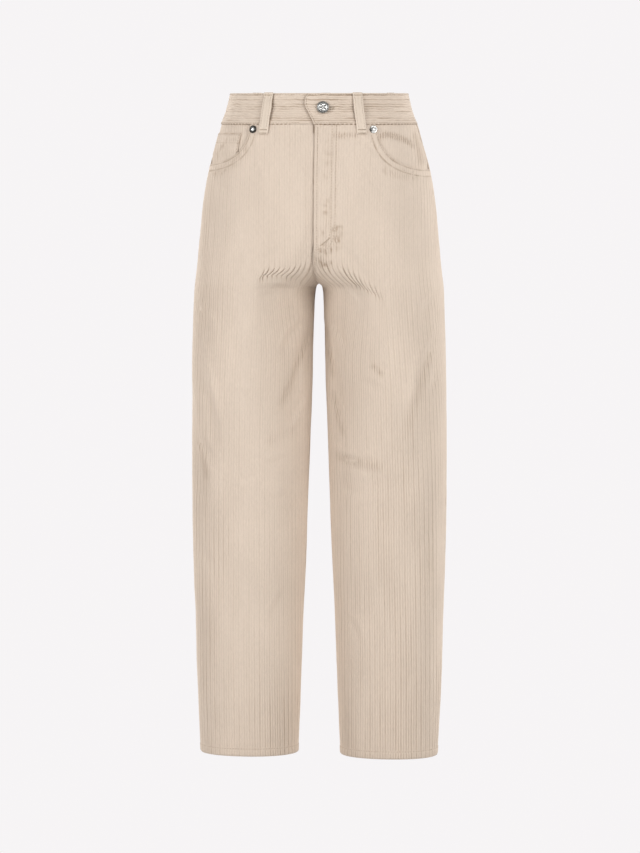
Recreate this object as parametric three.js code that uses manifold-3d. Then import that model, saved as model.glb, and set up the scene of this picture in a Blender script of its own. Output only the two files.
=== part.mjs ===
// Carrot fit corduroy jeans, hollow and filled out, as separate pieces that are cut and sewn together.
// Millimetres, +Z up, +X to the wearer's left, and the front faces -Y.
// The origin is the middle of the waist opening, halfway up the waistband.

import Module from "manifold-3d";
import * as THREE from "three";
import { mergeVertices } from "three/addons/utils/BufferGeometryUtils.js";

const wasm = await Module();
wasm.setup();

const { clamp, lerp, smoothstep } = THREE.MathUtils;

// ---------------------------------------------------------------- driving sizes

const GAP = 0.3; // between any two pieces
const WALL = 1.6; // one layer of corduroy
const THIN_WALL = 1.2; // pocket facing, coin pocket and back pocket
const BAND_WALL = 3; // the waistband is folded double
const BAND_PROUD = 0.8; // of the panels

const BAND_TOP = 22.5;
const BAND_SEAM = -22.5;
const FORK_TOP = -80; // where the two half rings start to part
const CROTCH = -257;
const HEM = -958;
const HEM_TURN = 12; // height of the turned hem

const SCOOP_START = 92; // X where the front pocket's curved opening leaves the waistband
const SCOOP_DEPTH = { [-1]: 58.5, 1: 66 }; // one is drawn up a little
const YOKE_AT_CENTRE = -85;
const YOKE_AT_SIDE = -52;

const FLY_EDGE = 4; // the lapped edge stands this far to the wearer's left
const FLY_LAP = 10; // of the right front under the left front
const FLY_LAP_END = -185; // below this height the lap runs out
const FLY_FADE = 15; // height in which it does so
const BAND_LAP_HIDDEN = 27; // X of the waistband's end under the lap

const LOOP_WIDTH = 14.5;
const LOOP_WALL = 1.8;
const BUTTON = { x: 15.7, height: 1.9, radius: 8.7 };
const RIVET = { x: 88, height: -30, radius: 5 };

// The form of one half of the body, a row for each level:
//   height  above the middle of the waistband
//   outer   from the centre plane out to the side seam
//   gap     from the centre plane out to the inseam, which counts below the crotch only
//   front   from the side seam forward
//   back    from the side seam back
//   power   roundness of the section, where 2 is an ellipse and more is squarer
//   fold    the same for its half beside the inseam, which is the flatter one
const LEVELS = named(["height", "outer", "gap", "front", "back", "power", "fold"], [
  [22.5, 131.2, 0.3, 86, 86, 2.1, 2.1],
  [-2, 136.6, 0.3, 88.5, 91, 2.1, 2.1],
  [-22.5, 144.5, 0.3, 92, 97, 2.1, 2.1],
  [-50, 152.3, 0.3, 97, 107, 2.12, 2.12],
  [-92, 163.8, 0.3, 103, 118, 2.15, 2.15],
  [-140, 171.7, 0.3, 107, 124, 2.2, 2.2],
  [-188, 176.2, 0.3, 108, 122, 2.25, 2.25],
  [-235, 180.8, 0.3, 105, 114, 2.3, 2.15],
  [-257, 183.5, 0.3, 102, 110.5, 2.32, 1.8],
  [-260.5, 183.8, 4.2, 101.4, 110, 2.33, 1.72],
  [-272, 184.6, 5.9, 99.5, 109.2, 2.35, 1.6],
  [-316, 186.2, 7.7, 94, 106, 2.42, 1.5],
  [-375, 187.8, 9.3, 88, 101, 2.45, 1.52],
  [-435, 188.5, 11.4, 84, 96, 2.45, 1.6],
  [-554, 188.7, 16, 77, 88, 2.4, 1.7],
  [-643, 187.7, 19, 72, 82, 2.38, 1.78],
  [-733, 185.3, 23.2, 67, 77, 2.35, 1.85],
  [-822, 183.2, 26.5, 62, 71, 2.3, 1.92],
  [-900, 180.2, 29.5, 58, 65, 2.28, 2],
  [-958, 177.4, 32, 55, 62, 2.25, 2.05],
]);

// The largest folds, as soft troughs between two places on a panel:
//   side, face  which panel: side 1 is the wearer's left, face -1 the front
//   across      distance along the cloth from the side seam
//   spread      half the width of the trough
const FOLDS = named(
  ["side", "face", "height1", "across1", "height2", "across2", "spread", "depth"], [
  [-1, -1, -330, 268, -440, 215, 15, 3.0],
  [1, -1, -330, 268, -430, 222, 15, 3.0],
  [-1, -1, -430, 30, -560, 62, 17, 2.6],
  [1, -1, -350, 40, -510, 78, 17, 2.8],
  [1, -1, -545, 90, -560, 205, 15, 2.2],
  [-1, 1, -330, 255, -450, 190, 16, 3.0],
  [1, 1, -330, 255, -450, 190, 16, 3.0],
  [-1, 1, -535, 60, -560, 200, 16, 2.6],
  [1, 1, -550, 60, -530, 200, 16, 2.6],
]);

const SECTION_STEPS = 72; // samples along one face of a half ring
const RING_ROUND = 24; // sides of the button
const RIVET_ROUND = 16;

const CLOTH = { color: 0xdfcdba, roughness: 0.92, metalness: 0 };
const METAL = { color: 0x9a9c9a, roughness: 0.32, metalness: 1 };

// ---------------------------------------------------------------- form of the body

function named(columns, rows) {
  return rows.map((row) => Object.fromEntries(columns.map((column, i) => [column, row[i]])));
}

// A smooth curve through one column of the table of levels.
function columnAt(column, height) {
  const last = LEVELS.length - 1;
  const found = LEVELS.findIndex((level) => level.height <= height);
  const below = clamp(found < 0 ? last : found, 1, last);
  const slope = (i) => {
    const before = LEVELS[Math.max(i - 1, 0)];
    const after = LEVELS[Math.min(i + 1, last)];
    return (after[column] - before[column]) / (after.height - before.height);
  };
  const a = LEVELS[below - 1];
  const b = LEVELS[below];
  const span = b.height - a.height;
  const t = (height - a.height) / span;
  const ease = t * t * (3 - 2 * t);
  return a[column] * (1 - ease) + b[column] * ease
    + span * t * (1 - t) * (slope(below - 1) * (1 - t) - slope(below) * t);
}

// X where the half ring ends inwards. Above the crotch it runs past the centre plane,
// where the panels are cut off, and the two halves part along a U-shaped curve.
function innerEnd(height) {
  if (height <= CROTCH) return columnAt("gap", height);
  const parting = Math.max(0, (FORK_TOP - height) / (FORK_TOP - CROTCH)) ** 3;
  return -columnAt("outer", height) * (1 - parting) / (1 + parting);
}

// Points of one face of the half ring, from the centre cut or the inseam to the side seam.
function sectionPoints(height, face, inset, cut) {
  const outer = columnAt("outer", height) - inset;
  const inner = innerEnd(height) + inset;
  const depth = columnAt(face < 0 ? "front" : "back", height) - inset;
  const power = columnAt("power", height);
  const centre = (outer + inner) / 2;
  const reach = (outer - inner) / 2;
  const past = clamp((centre - cut) / reach, -1, 1);
  const fold = columnAt("fold", height);
  const start = past > 0 ? fold : power;
  const first = past < 1 ? Math.acos(-Math.sign(past) * Math.abs(past) ** (start / 2)) : Math.PI;
  const points = [];
  for (let i = 0; i <= SECTION_STEPS; i += 1) {
    const angle = first * (1 - i / SECTION_STEPS);
    const along = Math.cos(angle);
    const round = along < 0 ? fold : power;
    const x = centre + reach * Math.sign(along) * Math.abs(along) ** (2 / round);
    const y = depth * Math.abs(Math.sin(angle)) ** (2 / round);
    points.push(new THREE.Vector2(x, face * Math.max(y, GAP / 2)));
  }
  return points;
}

function lengthOf(points) {
  return points.slice(1).reduce((sum, point, i) => sum + point.distanceTo(points[i]), 0);
}

function pointAt(points, share) {
  let left = share * lengthOf(points);
  for (let i = 1; i < points.length; i += 1) {
    const step = points[i].distanceTo(points[i - 1]);
    if (left <= step || i === points.length - 1) {
      return points[i - 1].clone().lerp(points[i], step ? left / step : 0);
    }
    left -= step;
  }
  return points.at(-1).clone();
}

// How far the folds push the cloth in at a place on a panel.
function foldDepth(side, face, across, height) {
  let depth = 0;
  for (const fold of FOLDS) {
    if (fold.side !== side || fold.face !== face) continue;
    const run = new THREE.Line3(
      new THREE.Vector3(fold.across1, fold.height1, 0), new THREE.Vector3(fold.across2, fold.height2, 0));
    const place = new THREE.Vector3(across, height, 0);
    const nearest = run.closestPointToPoint(place, true, new THREE.Vector3());
    depth += fold.depth * Math.exp(-((place.distanceTo(nearest) / fold.spread) ** 2));
  }
  return depth;
}

// A place on the body: share is 0 at the centre or inseam and 1 at the side seam, and
// inset is the depth below the outer face of the cloth. A negative share is on the other half.
function onBody({ side, face, share, height, inset = 0, cut = 0 }) {
  const half = share < 0 ? -side : side;
  const outerPoints = sectionPoints(height, face, 0, cut);
  const across = (1 - Math.abs(share)) * lengthOf(outerPoints);
  const depth = inset + foldDepth(half, face, across, height);
  const flat = pointAt(sectionPoints(height, face, depth, cut), Math.abs(share));
  return new THREE.Vector3(half * flat.x, flat.y, height);
}

// The share at which a section passes a given X.
function shareAtX(x, height, face, cut = 0) {
  const points = sectionPoints(height, face, 0, cut);
  const next = points.findIndex((point) => point.x >= x);
  if (next <= 0) return next < 0 ? 1 : 0;
  const t = (x - points[next - 1].x) / (points[next].x - points[next - 1].x);
  const upTo = points.slice(0, next).concat(points[next - 1].clone().lerp(points[next], t));
  return lengthOf(upTo) / lengthOf(points);
}

// Outward direction of the cloth at a place.
function outwardAt(place) {
  const step = 0.01;
  const here = onBody(place);
  const along = onBody({ ...place, share: place.share + step }).sub(here);
  const up = onBody({ ...place, height: place.height + 1 }).sub(here);
  const out = along.cross(up).normalize();
  return out.y * place.face < 0 ? out.negate() : out;
}

// ---------------------------------------------------------------- closed cloth shells

// Two grids of points, the outer and the inner face of a piece, closed along their four edges.
function closedShell(outerGrid, innerGrid) {
  const rows = outerGrid.length;
  const columns = outerGrid[0].length;
  const points = [...outerGrid.flat(), ...innerGrid.flat()];
  const index = [];
  const quad = (a, b, c, d) => index.push(a, b, c, a, c, d);
  const outer = (i, j) => i * columns + j;
  const inner = (i, j) => rows * columns + i * columns + j;
  for (let i = 0; i < rows - 1; i += 1) {
    for (let j = 0; j < columns - 1; j += 1) {
      quad(outer(i, j), outer(i + 1, j), outer(i + 1, j + 1), outer(i, j + 1));
      quad(inner(i, j), inner(i, j + 1), inner(i + 1, j + 1), inner(i + 1, j));
    }
    quad(outer(i + 1, 0), outer(i, 0), inner(i, 0), inner(i + 1, 0));
    quad(outer(i, columns - 1), outer(i + 1, columns - 1), inner(i + 1, columns - 1), inner(i, columns - 1));
  }
  for (let j = 0; j < columns - 1; j += 1) {
    quad(outer(0, j), outer(0, j + 1), inner(0, j + 1), inner(0, j));
    quad(outer(rows - 1, j + 1), outer(rows - 1, j), inner(rows - 1, j), inner(rows - 1, j + 1));
  }
  let volume = 0;
  for (let i = 0; i < index.length; i += 3) {
    const [a, b, c] = [0, 1, 2].map((k) => points[index[i + k]]);
    volume += a.dot(b.clone().cross(c));
  }
  if (volume < 0) index.reverse();
  const geometry = new THREE.BufferGeometry().setFromPoints(points);
  geometry.setIndex(index);
  geometry.computeVertexNormals();
  return geometry;
}

// A cloth piece on the body. placeAt(row, column) gives the place, and its wall may differ by place.
function clothPiece(rows, columns, placeAt, inset, wall) {
  const grid = (isInner) => rows.map((row) => columns.map((column) => {
    const place = placeAt(row, column);
    const start = inset + (place.inset ?? 0);
    return onBody({ ...place, inset: isInner ? start + (place.wall ?? wall) : start });
  }));
  return closedShell(grid(false), grid(true));
}

function toSolid(geometry) {
  const bare = geometry.clone().deleteAttribute("normal");
  bare.deleteAttribute("uv");
  const merged = mergeVertices(bare, 1e-4);
  return new wasm.Manifold(new wasm.Mesh({
    numProp: 3,
    vertProperties: new Float32Array(merged.attributes.position.array),
    triVerts: new Uint32Array(merged.index.array),
  }));
}

function fromSolid(solid) {
  const { vertProperties, triVerts } = solid.getMesh();
  const geometry = new THREE.BufferGeometry();
  geometry.setAttribute("position", new THREE.BufferAttribute(vertProperties, 3));
  geometry.setIndex(new THREE.BufferAttribute(triVerts, 1));
  geometry.computeVertexNormals();
  return geometry;
}

function mesh(name, geometry, look) {
  const piece = new THREE.Mesh(geometry, new THREE.MeshStandardMaterial(look));
  piece.name = name;
  return piece;
}

const sideName = (side) => (side < 0 ? "right" : "left");

function evenSteps(from, to, count) {
  return Array.from({ length: count + 1 }, (_, i) => lerp(from, to, i / count));
}

// ---------------------------------------------------------------- leg panels and yokes

const PANEL_TOP = BAND_SEAM - GAP / 2;
const SQUEEZE_END = -125; // above this height the rows are squeezed under the panel's own top edge
const TOP_ROWS = [PANEL_TOP, -48, -74, -100];
const RISE_ROWS = [SQUEEZE_END, -155, -185, -200, -218, -235, -247, -254, -258, -259.6];
const LEG_ROWS = [-257.1, -260.5, -272, -305, -340, -380, -420, -460, -500, -540, -580, -640, -720, -800,
  -880, HEM + HEM_TURN + 0.1, HEM + HEM_TURN - 0.1, HEM];

// Height of a row in a column whose top edge is lower than the waistband seam.
function rowHeight(row, top) {
  if (row <= SQUEEZE_END) return row;
  return SQUEEZE_END + (row - SQUEEZE_END) * (top - SQUEEZE_END) / (PANEL_TOP - SQUEEZE_END);
}

// The lap and the curve of the fly, seen from the half that the panel is on.
function centreCut(side, face, height) {
  if (face > 0) return GAP / 2;
  const edge = FLY_EDGE * smoothstep(height, CROTCH, FLY_LAP_END);
  const lap = side < 0 ? FLY_LAP * smoothstep(height, FLY_LAP_END - FLY_FADE, FLY_LAP_END) : 0;
  return side * edge + GAP / 2 - lap;
}

// The right front dips to pass under the left front.
const DIP_FULL = 0.05; // share up to which it is as deep as it goes
const DIP_END = 0.11;
const DIP_SPARE = 0.2; // left between the two
function flyDip(side, face, share, height) {
  if (side > 0 || face > 0) return 0;
  const low = FLY_LAP_END - 3 * FLY_FADE;
  return (WALL + GAP + DIP_SPARE) * (1 - smoothstep(share, DIP_FULL, DIP_END))
    * smoothstep(height, low, low + 1.5 * FLY_FADE);
}

// Front columns: some at the centre, then one for each point of the pocket's curve, which is a
// squarish quarter of an oval. Each point is named by its distance from the side seam, of the whole.
const SCOOP_POINTS = [1, 0.985, 0.93, 0.85, 0.68, 0.48, 0.3, 0.14, 0];
const SCOOP_POWER = 3;
function frontColumns(side) {
  const start = shareAtX(SCOOP_START, PANEL_TOP, -1, centreCut(side, -1, PANEL_TOP));
  const plain = [0, DIP_FULL, DIP_END, 0.2, 0.3, 0.4].map((share) => ({ top: PANEL_TOP, share }));
  const scoop = SCOOP_POINTS.map((out) => ({
    top: PANEL_TOP - SCOOP_DEPTH[side] * (1 - out ** SCOOP_POWER) ** (1 / SCOOP_POWER),
    share: 1 - (1 - start) * out,
  }));
  return [...plain, ...scoop];
}

// Where the crotch curve lengthens the section, only the columns next to it make room.
const FORK_SPAN = [-200, -320];
const FORK_SHARE = 0.33;
function besideFork(share, height, face, cut) {
  const [above, below] = FORK_SPAN;
  if (height > above || height < below) return share;
  const t = (height - above) / (below - above);
  const reach = (level) => lengthOf(sectionPoints(level, face, 0, cut));
  const length = reach(height);
  const even = (keep) => 1 - (1 - keep) * lerp(reach(above), reach(below), t) / length;
  return share > FORK_SHARE ? even(share) : even(FORK_SHARE) * share / FORK_SHARE;
}

function yokeLine(share) {
  return lerp(YOKE_AT_CENTRE, YOKE_AT_SIDE, share);
}

const BACK_SHARES = [0, 0.05, 0.12, 0.21, 0.31, 0.42, 0.53, 0.64, 0.75, 0.85, 0.93, 1];
function backColumns() {
  return BACK_SHARES.map((share) => ({ top: yokeLine(share) - GAP, share }));
}

// A panel's own place at a row and a column.
function onPanel(side, face, row, column) {
  const height = rowHeight(row, column.top);
  const cut = centreCut(side, face, height);
  return { side, face, height, cut, share: besideFork(column.share, height, face, cut) };
}

function legPanel(side, face) {
  const rows = [...TOP_ROWS, ...RISE_ROWS, ...LEG_ROWS];
  const placeAt = (row, column) => {
    const place = onPanel(side, face, row, column);
    const wall = row < HEM + HEM_TURN ? 2 * WALL : WALL;
    return { ...place, wall, inset: flyDip(side, face, column.share, place.height) };
  };
  return clothPiece(rows, face < 0 ? frontColumns(side) : backColumns(), placeAt, 0, WALL);
}

function yoke(side) {
  const placeAt = (part, share) => ({
    side, face: 1, share, cut: GAP / 2, height: lerp(PANEL_TOP, yokeLine(share), part),
  });
  return clothPiece(evenSteps(0, 1, 3), evenSteps(0, 1, 8), placeAt, 0, WALL);
}

// ---------------------------------------------------------------- waistband and belt loops

// The band goes once round, from its hidden end under the lap to the slanted end that shows.
// turn is 0 at the centre front, 1 at the right side, 2 at the centre back and 4 at the front again.
function onBand(turn, height, inset) {
  const quarter = clamp(Math.floor(turn), 0, 3);
  const side = quarter < 2 ? -1 : 1;
  const face = quarter === 0 || quarter === 3 ? -1 : 1;
  const share = [turn, 2 - turn, turn - 2, 4 - turn][quarter];
  return onBody({ side, face, share, height, inset });
}

// X of the slanted end at a height.
const BAND_END = [[22.5, -5], [13, -11], [3, -10], [-12, -2.3], [-22.5, 2.6]];
function bandEndX(height) {
  const next = clamp(BAND_END.findIndex(([level]) => level <= height), 1, BAND_END.length - 1);
  const [[h1, x1], [h2, x2]] = [BAND_END[next - 1], BAND_END[next]];
  return lerp(x1, x2, (height - h1) / (h2 - h1));
}

function waistband() {
  const heights = [BAND_SEAM + GAP / 2, -12, 3, 13, BAND_TOP];
  const quarterLength = lengthOf(sectionPoints(0, -1, 0, 0));
  const hiddenTurn = -BAND_LAP_HIDDEN / quarterLength;
  const liftStart = 3.7; // the lap starts to rise here, and is as high as it goes at liftEnd
  const liftEnd = 3.86;
  const step = (BAND_WALL + GAP) / 2;
  const turns = [hiddenTurn, 0, 0.07, 0.15, ...evenSteps(0.3, 3.6, 33), liftStart, 3.78, liftEnd, 3.93, 4];
  const grid = (depth) => heights.map((height) => turns.map((turn) => {
    const isEnd = turn === 4;
    const at = isEnd ? 4 - bandEndX(height) / quarterLength : turn;
    const sink = step * (1 - smoothstep(at, 0.07, 0.3)) - step * smoothstep(at, liftStart, liftEnd);
    return onBand(at, height, depth - BAND_PROUD + sink);
  }));
  return closedShell(grid(0), grid(BAND_WALL));
}

// Heights of a loop, with how far its inner face stands out from the panels' outer face.
const LOOP_PROFILE = named(["height", "stand"], [
  [23.6, 1.1], [17, 1.2], [9, 3.0], [-10, 3.0], [-20, 1.3], [-25, 1.1], [-31, 0.35], [-37, 0.3],
]);
const LOOPS = named(["name", "side", "face", "share"], [
  ["belt_loop_front_right", -1, -1, 0.375],
  ["belt_loop_front_left", 1, -1, 0.375],
  ["belt_loop_back_right", -1, 1, 0.6],
  ["belt_loop_back_left", 1, 1, 0.6],
  ["belt_loop_centre_back", 1, 1, 0],
]);

function beltLoop({ side, face, share }) {
  const halfShare = LOOP_WIDTH / 2 / lengthOf(sectionPoints(0, face, 0, 0));
  const placeAt = (row, offset) => ({
    side, face, share: share + offset * halfShare, height: row.height, inset: -row.stand - LOOP_WALL,
  });
  return clothPiece(LOOP_PROFILE, [-1, 0, 1], placeAt, 0, LOOP_WALL);
}

// ---------------------------------------------------------------- pockets

// The facing shows in the pocket's curved opening and runs on under the front panel, on the panel's
// own rows and columns. The coin pocket lies between the two.
const COIN_LEVEL = WALL + GAP;
const FACING_LEVEL = { [-1]: COIN_LEVEL + THIN_WALL + GAP, 1: WALL + GAP };
const FACING_COLUMNS = SCOOP_POINTS.length + 1; // those of the curve and one more, under the panel
const COIN_COLUMNS = SCOOP_POINTS.length - 3;
const COIN_TOP = -36;

// Heights of a column: some in the opening, and then the panel's, which start at its top edge.
function underPanel(top, openHeights, panelRows) {
  const edge = Math.min(top, (PANEL_TOP + TOP_ROWS[1]) / 2);
  return [...openHeights(edge), edge, ...panelRows.map((row) => rowHeight(row, top))];
}

function pocketPiece(side, count, openHeights, panelRows, inset) {
  const columns = frontColumns(side).slice(-count);
  const rowIndexes = underPanel(0, openHeights, panelRows).map((_, i) => i);
  const placeAt = (i, { top, share }) => {
    const height = underPanel(top, openHeights, panelRows)[i];
    return { side, face: -1, share, height, cut: centreCut(side, -1, height) };
  };
  return clothPiece(rowIndexes, columns, placeAt, inset, THIN_WALL);
}

function pocketFacing(side) {
  const openHeights = (edge) => [PANEL_TOP, (PANEL_TOP + edge) / 2];
  return pocketPiece(side, FACING_COLUMNS, openHeights, TOP_ROWS.slice(1), FACING_LEVEL[side]);
}

function coinPocket() {
  return pocketPiece(-1, COIN_COLUMNS, () => [COIN_TOP], TOP_ROWS.slice(1, -1), COIN_LEVEL);
}

// A back pocket is cut from the back panel's surface, moved out, with a pointed outline.
const BACK_POCKET = { top: -108, drop: 122, point: 136, topHalf: 62, bottomHalf: 53, centre: 80 };
function backPocket(side) {
  const { top, drop, point, topHalf, bottomHalf, centre } = BACK_POCKET;
  const rows = [-100, SQUEEZE_END, -155, -185, -200, -218, -235, -247, -254, -258];
  const placeAt = (row, column) => onPanel(side, 1, row, column);
  const skin = clothPiece(rows, backColumns().slice(0, -2), placeAt, -GAP - THIN_WALL, THIN_WALL);
  const outline = new THREE.Shape([[-topHalf, 0], [-bottomHalf, -drop], [0, -point],
    [bottomHalf, -drop], [topHalf, 0]].map(([x, z]) => new THREE.Vector2(x + side * centre, z + top)));
  const cutter = new THREE.ExtrudeGeometry(outline, { depth: 300, bevelEnabled: false });
  cutter.rotateX(Math.PI / 2).translate(0, 300, 0);
  return fromSolid(toSolid(skin).intersect(toSolid(cutter)));
}

// ---------------------------------------------------------------- button and rivets

// A turned metal piece whose foot is at the place and whose axis points out of the cloth.
function turned(name, profile, round, place) {
  const points = profile.map(([radius, rise]) => new THREE.Vector2(radius, rise));
  const piece = mesh(name, new THREE.LatheGeometry(points, round), METAL);
  piece.position.copy(onBody(place));
  piece.quaternion.setFromUnitVectors(new THREE.Vector3(0, 1, 0), outwardAt(place));
  return piece;
}

function button() {
  const r = BUTTON.radius;
  const profile = [[0, 0], [4.2, 0], [4.2, 1.3], [r - 0.9, 1.5], [r, 2.1], [r, 3.0], [r - 0.8, 3.6],
    [r - 2.2, 3.5], [r - 2.8, 2.9], [2.4, 3.1], [0, 3.5]];
  const share = shareAtX(BUTTON.x, BUTTON.height, -1);
  const rest = BAND_PROUD + (BAND_WALL + GAP) / 2 + GAP;
  return turned("button", profile, RING_ROUND, { side: 1, face: -1, share, height: BUTTON.height, inset: -rest });
}

function rivet(side) {
  const r = RIVET.radius;
  const profile = [[0, 0], [r, 0], [r, 0.5], [r - 0.8, 1.1], [2.2, 1.3], [1.5, 1.9], [0, 2.1]];
  const share = shareAtX(RIVET.x, RIVET.height, -1);
  const place = { side, face: -1, share, height: RIVET.height, inset: -GAP - 0.05 };
  return turned(`rivet_${sideName(side)}`, profile, RIVET_ROUND, place);
}

// ---------------------------------------------------------------- the garment

const jeans = new THREE.Group();
jeans.name = "carrot_fit_jeans";
for (const side of [-1, 1]) {
  jeans.add(mesh(`front_${sideName(side)}`, legPanel(side, -1), CLOTH));
  jeans.add(mesh(`back_${sideName(side)}`, legPanel(side, 1), CLOTH));
  jeans.add(mesh(`yoke_${sideName(side)}`, yoke(side), CLOTH));
  jeans.add(mesh(`pocket_facing_${sideName(side)}`, pocketFacing(side), CLOTH));
  jeans.add(mesh(`back_pocket_${sideName(side)}`, backPocket(side), CLOTH));
  jeans.add(rivet(side));
}
jeans.add(mesh("coin_pocket", coinPocket(), CLOTH));
jeans.add(mesh("waistband", waistband(), CLOTH));
for (const loop of LOOPS) jeans.add(mesh(loop.name, beltLoop(loop), CLOTH));
jeans.add(button());

export default jeans;
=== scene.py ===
"""Looks of the carrot fit corduroy jeans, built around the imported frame.

Sizes are in millimetres, in the frame's own axes: +Z up, +X to the wearer's left, the front to -Y.
Meshes are scaled to metres when they are made. Each panel has its own pattern coordinates: "grain" is
the distance along the cloth from a straight wale in the middle of the leg, positive towards the side
seam, and "height" is Z. The wales run along lines of equal grain.
"""

import math
from collections import namedtuple

import bpy
import numpy as np
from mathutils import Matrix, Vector


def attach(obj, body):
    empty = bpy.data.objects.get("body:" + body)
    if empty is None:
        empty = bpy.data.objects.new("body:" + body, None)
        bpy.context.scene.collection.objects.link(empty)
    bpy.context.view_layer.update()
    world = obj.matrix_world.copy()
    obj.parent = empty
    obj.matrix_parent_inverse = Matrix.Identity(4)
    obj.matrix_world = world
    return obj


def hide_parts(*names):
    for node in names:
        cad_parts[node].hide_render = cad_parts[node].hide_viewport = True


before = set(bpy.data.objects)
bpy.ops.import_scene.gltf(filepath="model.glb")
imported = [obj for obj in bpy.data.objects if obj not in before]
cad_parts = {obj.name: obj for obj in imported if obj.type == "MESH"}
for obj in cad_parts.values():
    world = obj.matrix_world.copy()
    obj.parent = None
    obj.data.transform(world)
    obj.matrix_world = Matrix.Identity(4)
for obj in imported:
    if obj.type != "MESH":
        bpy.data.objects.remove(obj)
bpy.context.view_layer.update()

MM = 0.001
RANDOM = np.random.default_rng(11)

# ------------------------------------------------------------------ sizes shared with the frame

GAP = 0.3
WALL = 1.6
THIN_WALL = 1.2
BAND_WALL = 3.0
BAND_PROUD = 0.8
BAND_TOP = 22.5
BAND_SEAM = -22.5
PANEL_TOP = BAND_SEAM - GAP / 2
FORK_TOP = -80.0
CROTCH = -257.0
HEM = -958.0
HEM_TURN = 12.0
HEM_TOP = HEM + HEM_TURN
SCOOP_START = 92.0
SCOOP_DEPTH = {-1: 58.5, 1: 66.0}
SCOOP_POWER = 3.0
COIN_SHARE = 0.85  # of the scoop's width, from the side seam
COIN_TOP = -36.0
COIN_BOTTOM = -74.0
FACING_BOTTOM = -100.0
FACING_UNDER = 14.0  # how far the facing runs on under the front
FACING_OPEN = 0.7  # its depth in the middle of the opening
PATCH_TOP = -108.0
PATCH_SIDE = 122.0
PATCH_POINT = 136.0
PATCH_TOP_HALF = 62.0
PATCH_BOTTOM_HALF = 53.0
PATCH_CENTRE = 80.0
YOKE_AT_CENTRE = -85.0
YOKE_AT_SIDE = -52.0
FLY_EDGE = 4.0
FLY_LAP = 10.0
FLY_LAP_END = -185.0
FLY_FADE = 15.0
DIP_FULL = 0.05
DIP_END = 0.11
DIP_CLEARANCE = 0.2
BAND_LAP_HIDDEN = 27.0
LOOP_WIDTH = 14.5
LOOP_WALL = 1.8
COIN_LEVEL = WALL + GAP
FACING_LEVEL = {-1: COIN_LEVEL + THIN_WALL + GAP, 1: WALL + GAP}

# A side is -1 for the wearer's right and 1 for the left, a face is -1 for the front and 1 for the back.
SIDE_NAMES = {-1: "right", 1: "left"}
FACE_NAMES = {-1: "front", 1: "back"}
KEYS = [(side, face) for side in SIDE_NAMES for face in FACE_NAMES]


def named_rows(columns, rows):
    return [dict(zip(columns, row)) for row in rows]


# The form of one half of the body, a row for each level, lowest first.
LEVEL_COLUMNS = ("height", "outer", "gap", "front", "back", "power", "fold")
LEVELS = dict(zip(LEVEL_COLUMNS, np.array([
    (-958, 177.4, 32, 55, 62, 2.25, 2.05),
    (-900, 180.2, 29.5, 58, 65, 2.28, 2),
    (-822, 183.2, 26.5, 62, 71, 2.3, 1.92),
    (-733, 185.3, 23.2, 67, 77, 2.35, 1.85),
    (-643, 187.7, 19, 72, 82, 2.38, 1.78),
    (-554, 188.7, 16, 77, 88, 2.4, 1.7),
    (-435, 188.5, 11.4, 84, 96, 2.45, 1.6),
    (-375, 187.8, 9.3, 88, 101, 2.45, 1.52),
    (-316, 186.2, 7.7, 94, 106, 2.42, 1.5),
    (-272, 184.6, 5.9, 99.5, 109.2, 2.35, 1.6),
    (-260.5, 183.8, 4.2, 101.4, 110, 2.33, 1.72),
    (-257, 183.5, 0.3, 102, 110.5, 2.32, 1.8),
    (-235, 180.8, 0.3, 105, 114, 2.3, 2.15),
    (-188, 176.2, 0.3, 108, 122, 2.25, 2.25),
    (-140, 171.7, 0.3, 107, 124, 2.2, 2.2),
    (-92, 163.8, 0.3, 103, 118, 2.15, 2.15),
    (-50, 152.3, 0.3, 97, 107, 2.12, 2.12),
    (-22.5, 144.5, 0.3, 92, 97, 2.1, 2.1),
    (-2, 136.6, 0.3, 88.5, 91, 2.1, 2.1),
    (22.5, 131.2, 0.3, 86, 86, 2.1, 2.1),
], float).T))

# The largest folds, which the frame's solids have too: soft troughs between two places on a panel.
# Across is the distance along the cloth from the side seam.
FOLD_COLUMNS = ("side", "face", "height1", "across1", "height2", "across2", "spread", "depth")
FOLDS = named_rows(FOLD_COLUMNS, (
    (-1, -1, -330, 268, -440, 215, 15, 3.0),
    (1, -1, -330, 268, -430, 222, 15, 3.0),
    (-1, -1, -430, 30, -560, 62, 17, 2.6),
    (1, -1, -350, 40, -510, 78, 17, 2.8),
    (1, -1, -545, 90, -560, 205, 15, 2.2),
    (-1, 1, -330, 255, -450, 190, 16, 3.0),
    (1, 1, -330, 255, -450, 190, 16, 3.0),
    (-1, 1, -535, 60, -560, 200, 16, 2.6),
    (1, 1, -550, 60, -530, 200, 16, 2.6),
))

# ------------------------------------------------------------------ form of the body


def mix(a, b, t):
    return a + (b - a) * t


def ease(t, start=0.0, end=1.0):
    t = np.clip((t - start) / (end - start), 0, 1)
    return t * t * (3 - 2 * t)


def level(column, height):
    """A smooth curve through one column of LEVELS."""
    heights, values = LEVELS["height"], LEVELS[column]
    last = len(heights) - 1
    before = np.maximum(np.arange(last + 1) - 1, 0)
    after = np.minimum(np.arange(last + 1) + 1, last)
    slopes = (values[after] - values[before]) / (heights[after] - heights[before])
    i = np.clip(np.searchsorted(heights, height, side="right") - 1, 0, last - 1)
    span = heights[i + 1] - heights[i]
    t = (height - heights[i]) / span
    curve = t * t * (3 - 2 * t)
    tangents = span * t * (1 - t) * (slopes[i] * (1 - t) - slopes[i + 1] * t)
    return values[i] * (1 - curve) + values[i + 1] * curve + tangents


def inner_end(height):
    """X where a half ring ends inwards: past the centre plane above the crotch."""
    parting = np.clip((FORK_TOP - height) / (FORK_TOP - CROTCH), 0, 1) ** 3
    above = -level("outer", height) * (1 - parting) / (1 + parting)
    return np.where(height <= CROTCH, level("gap", height), above)


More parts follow.
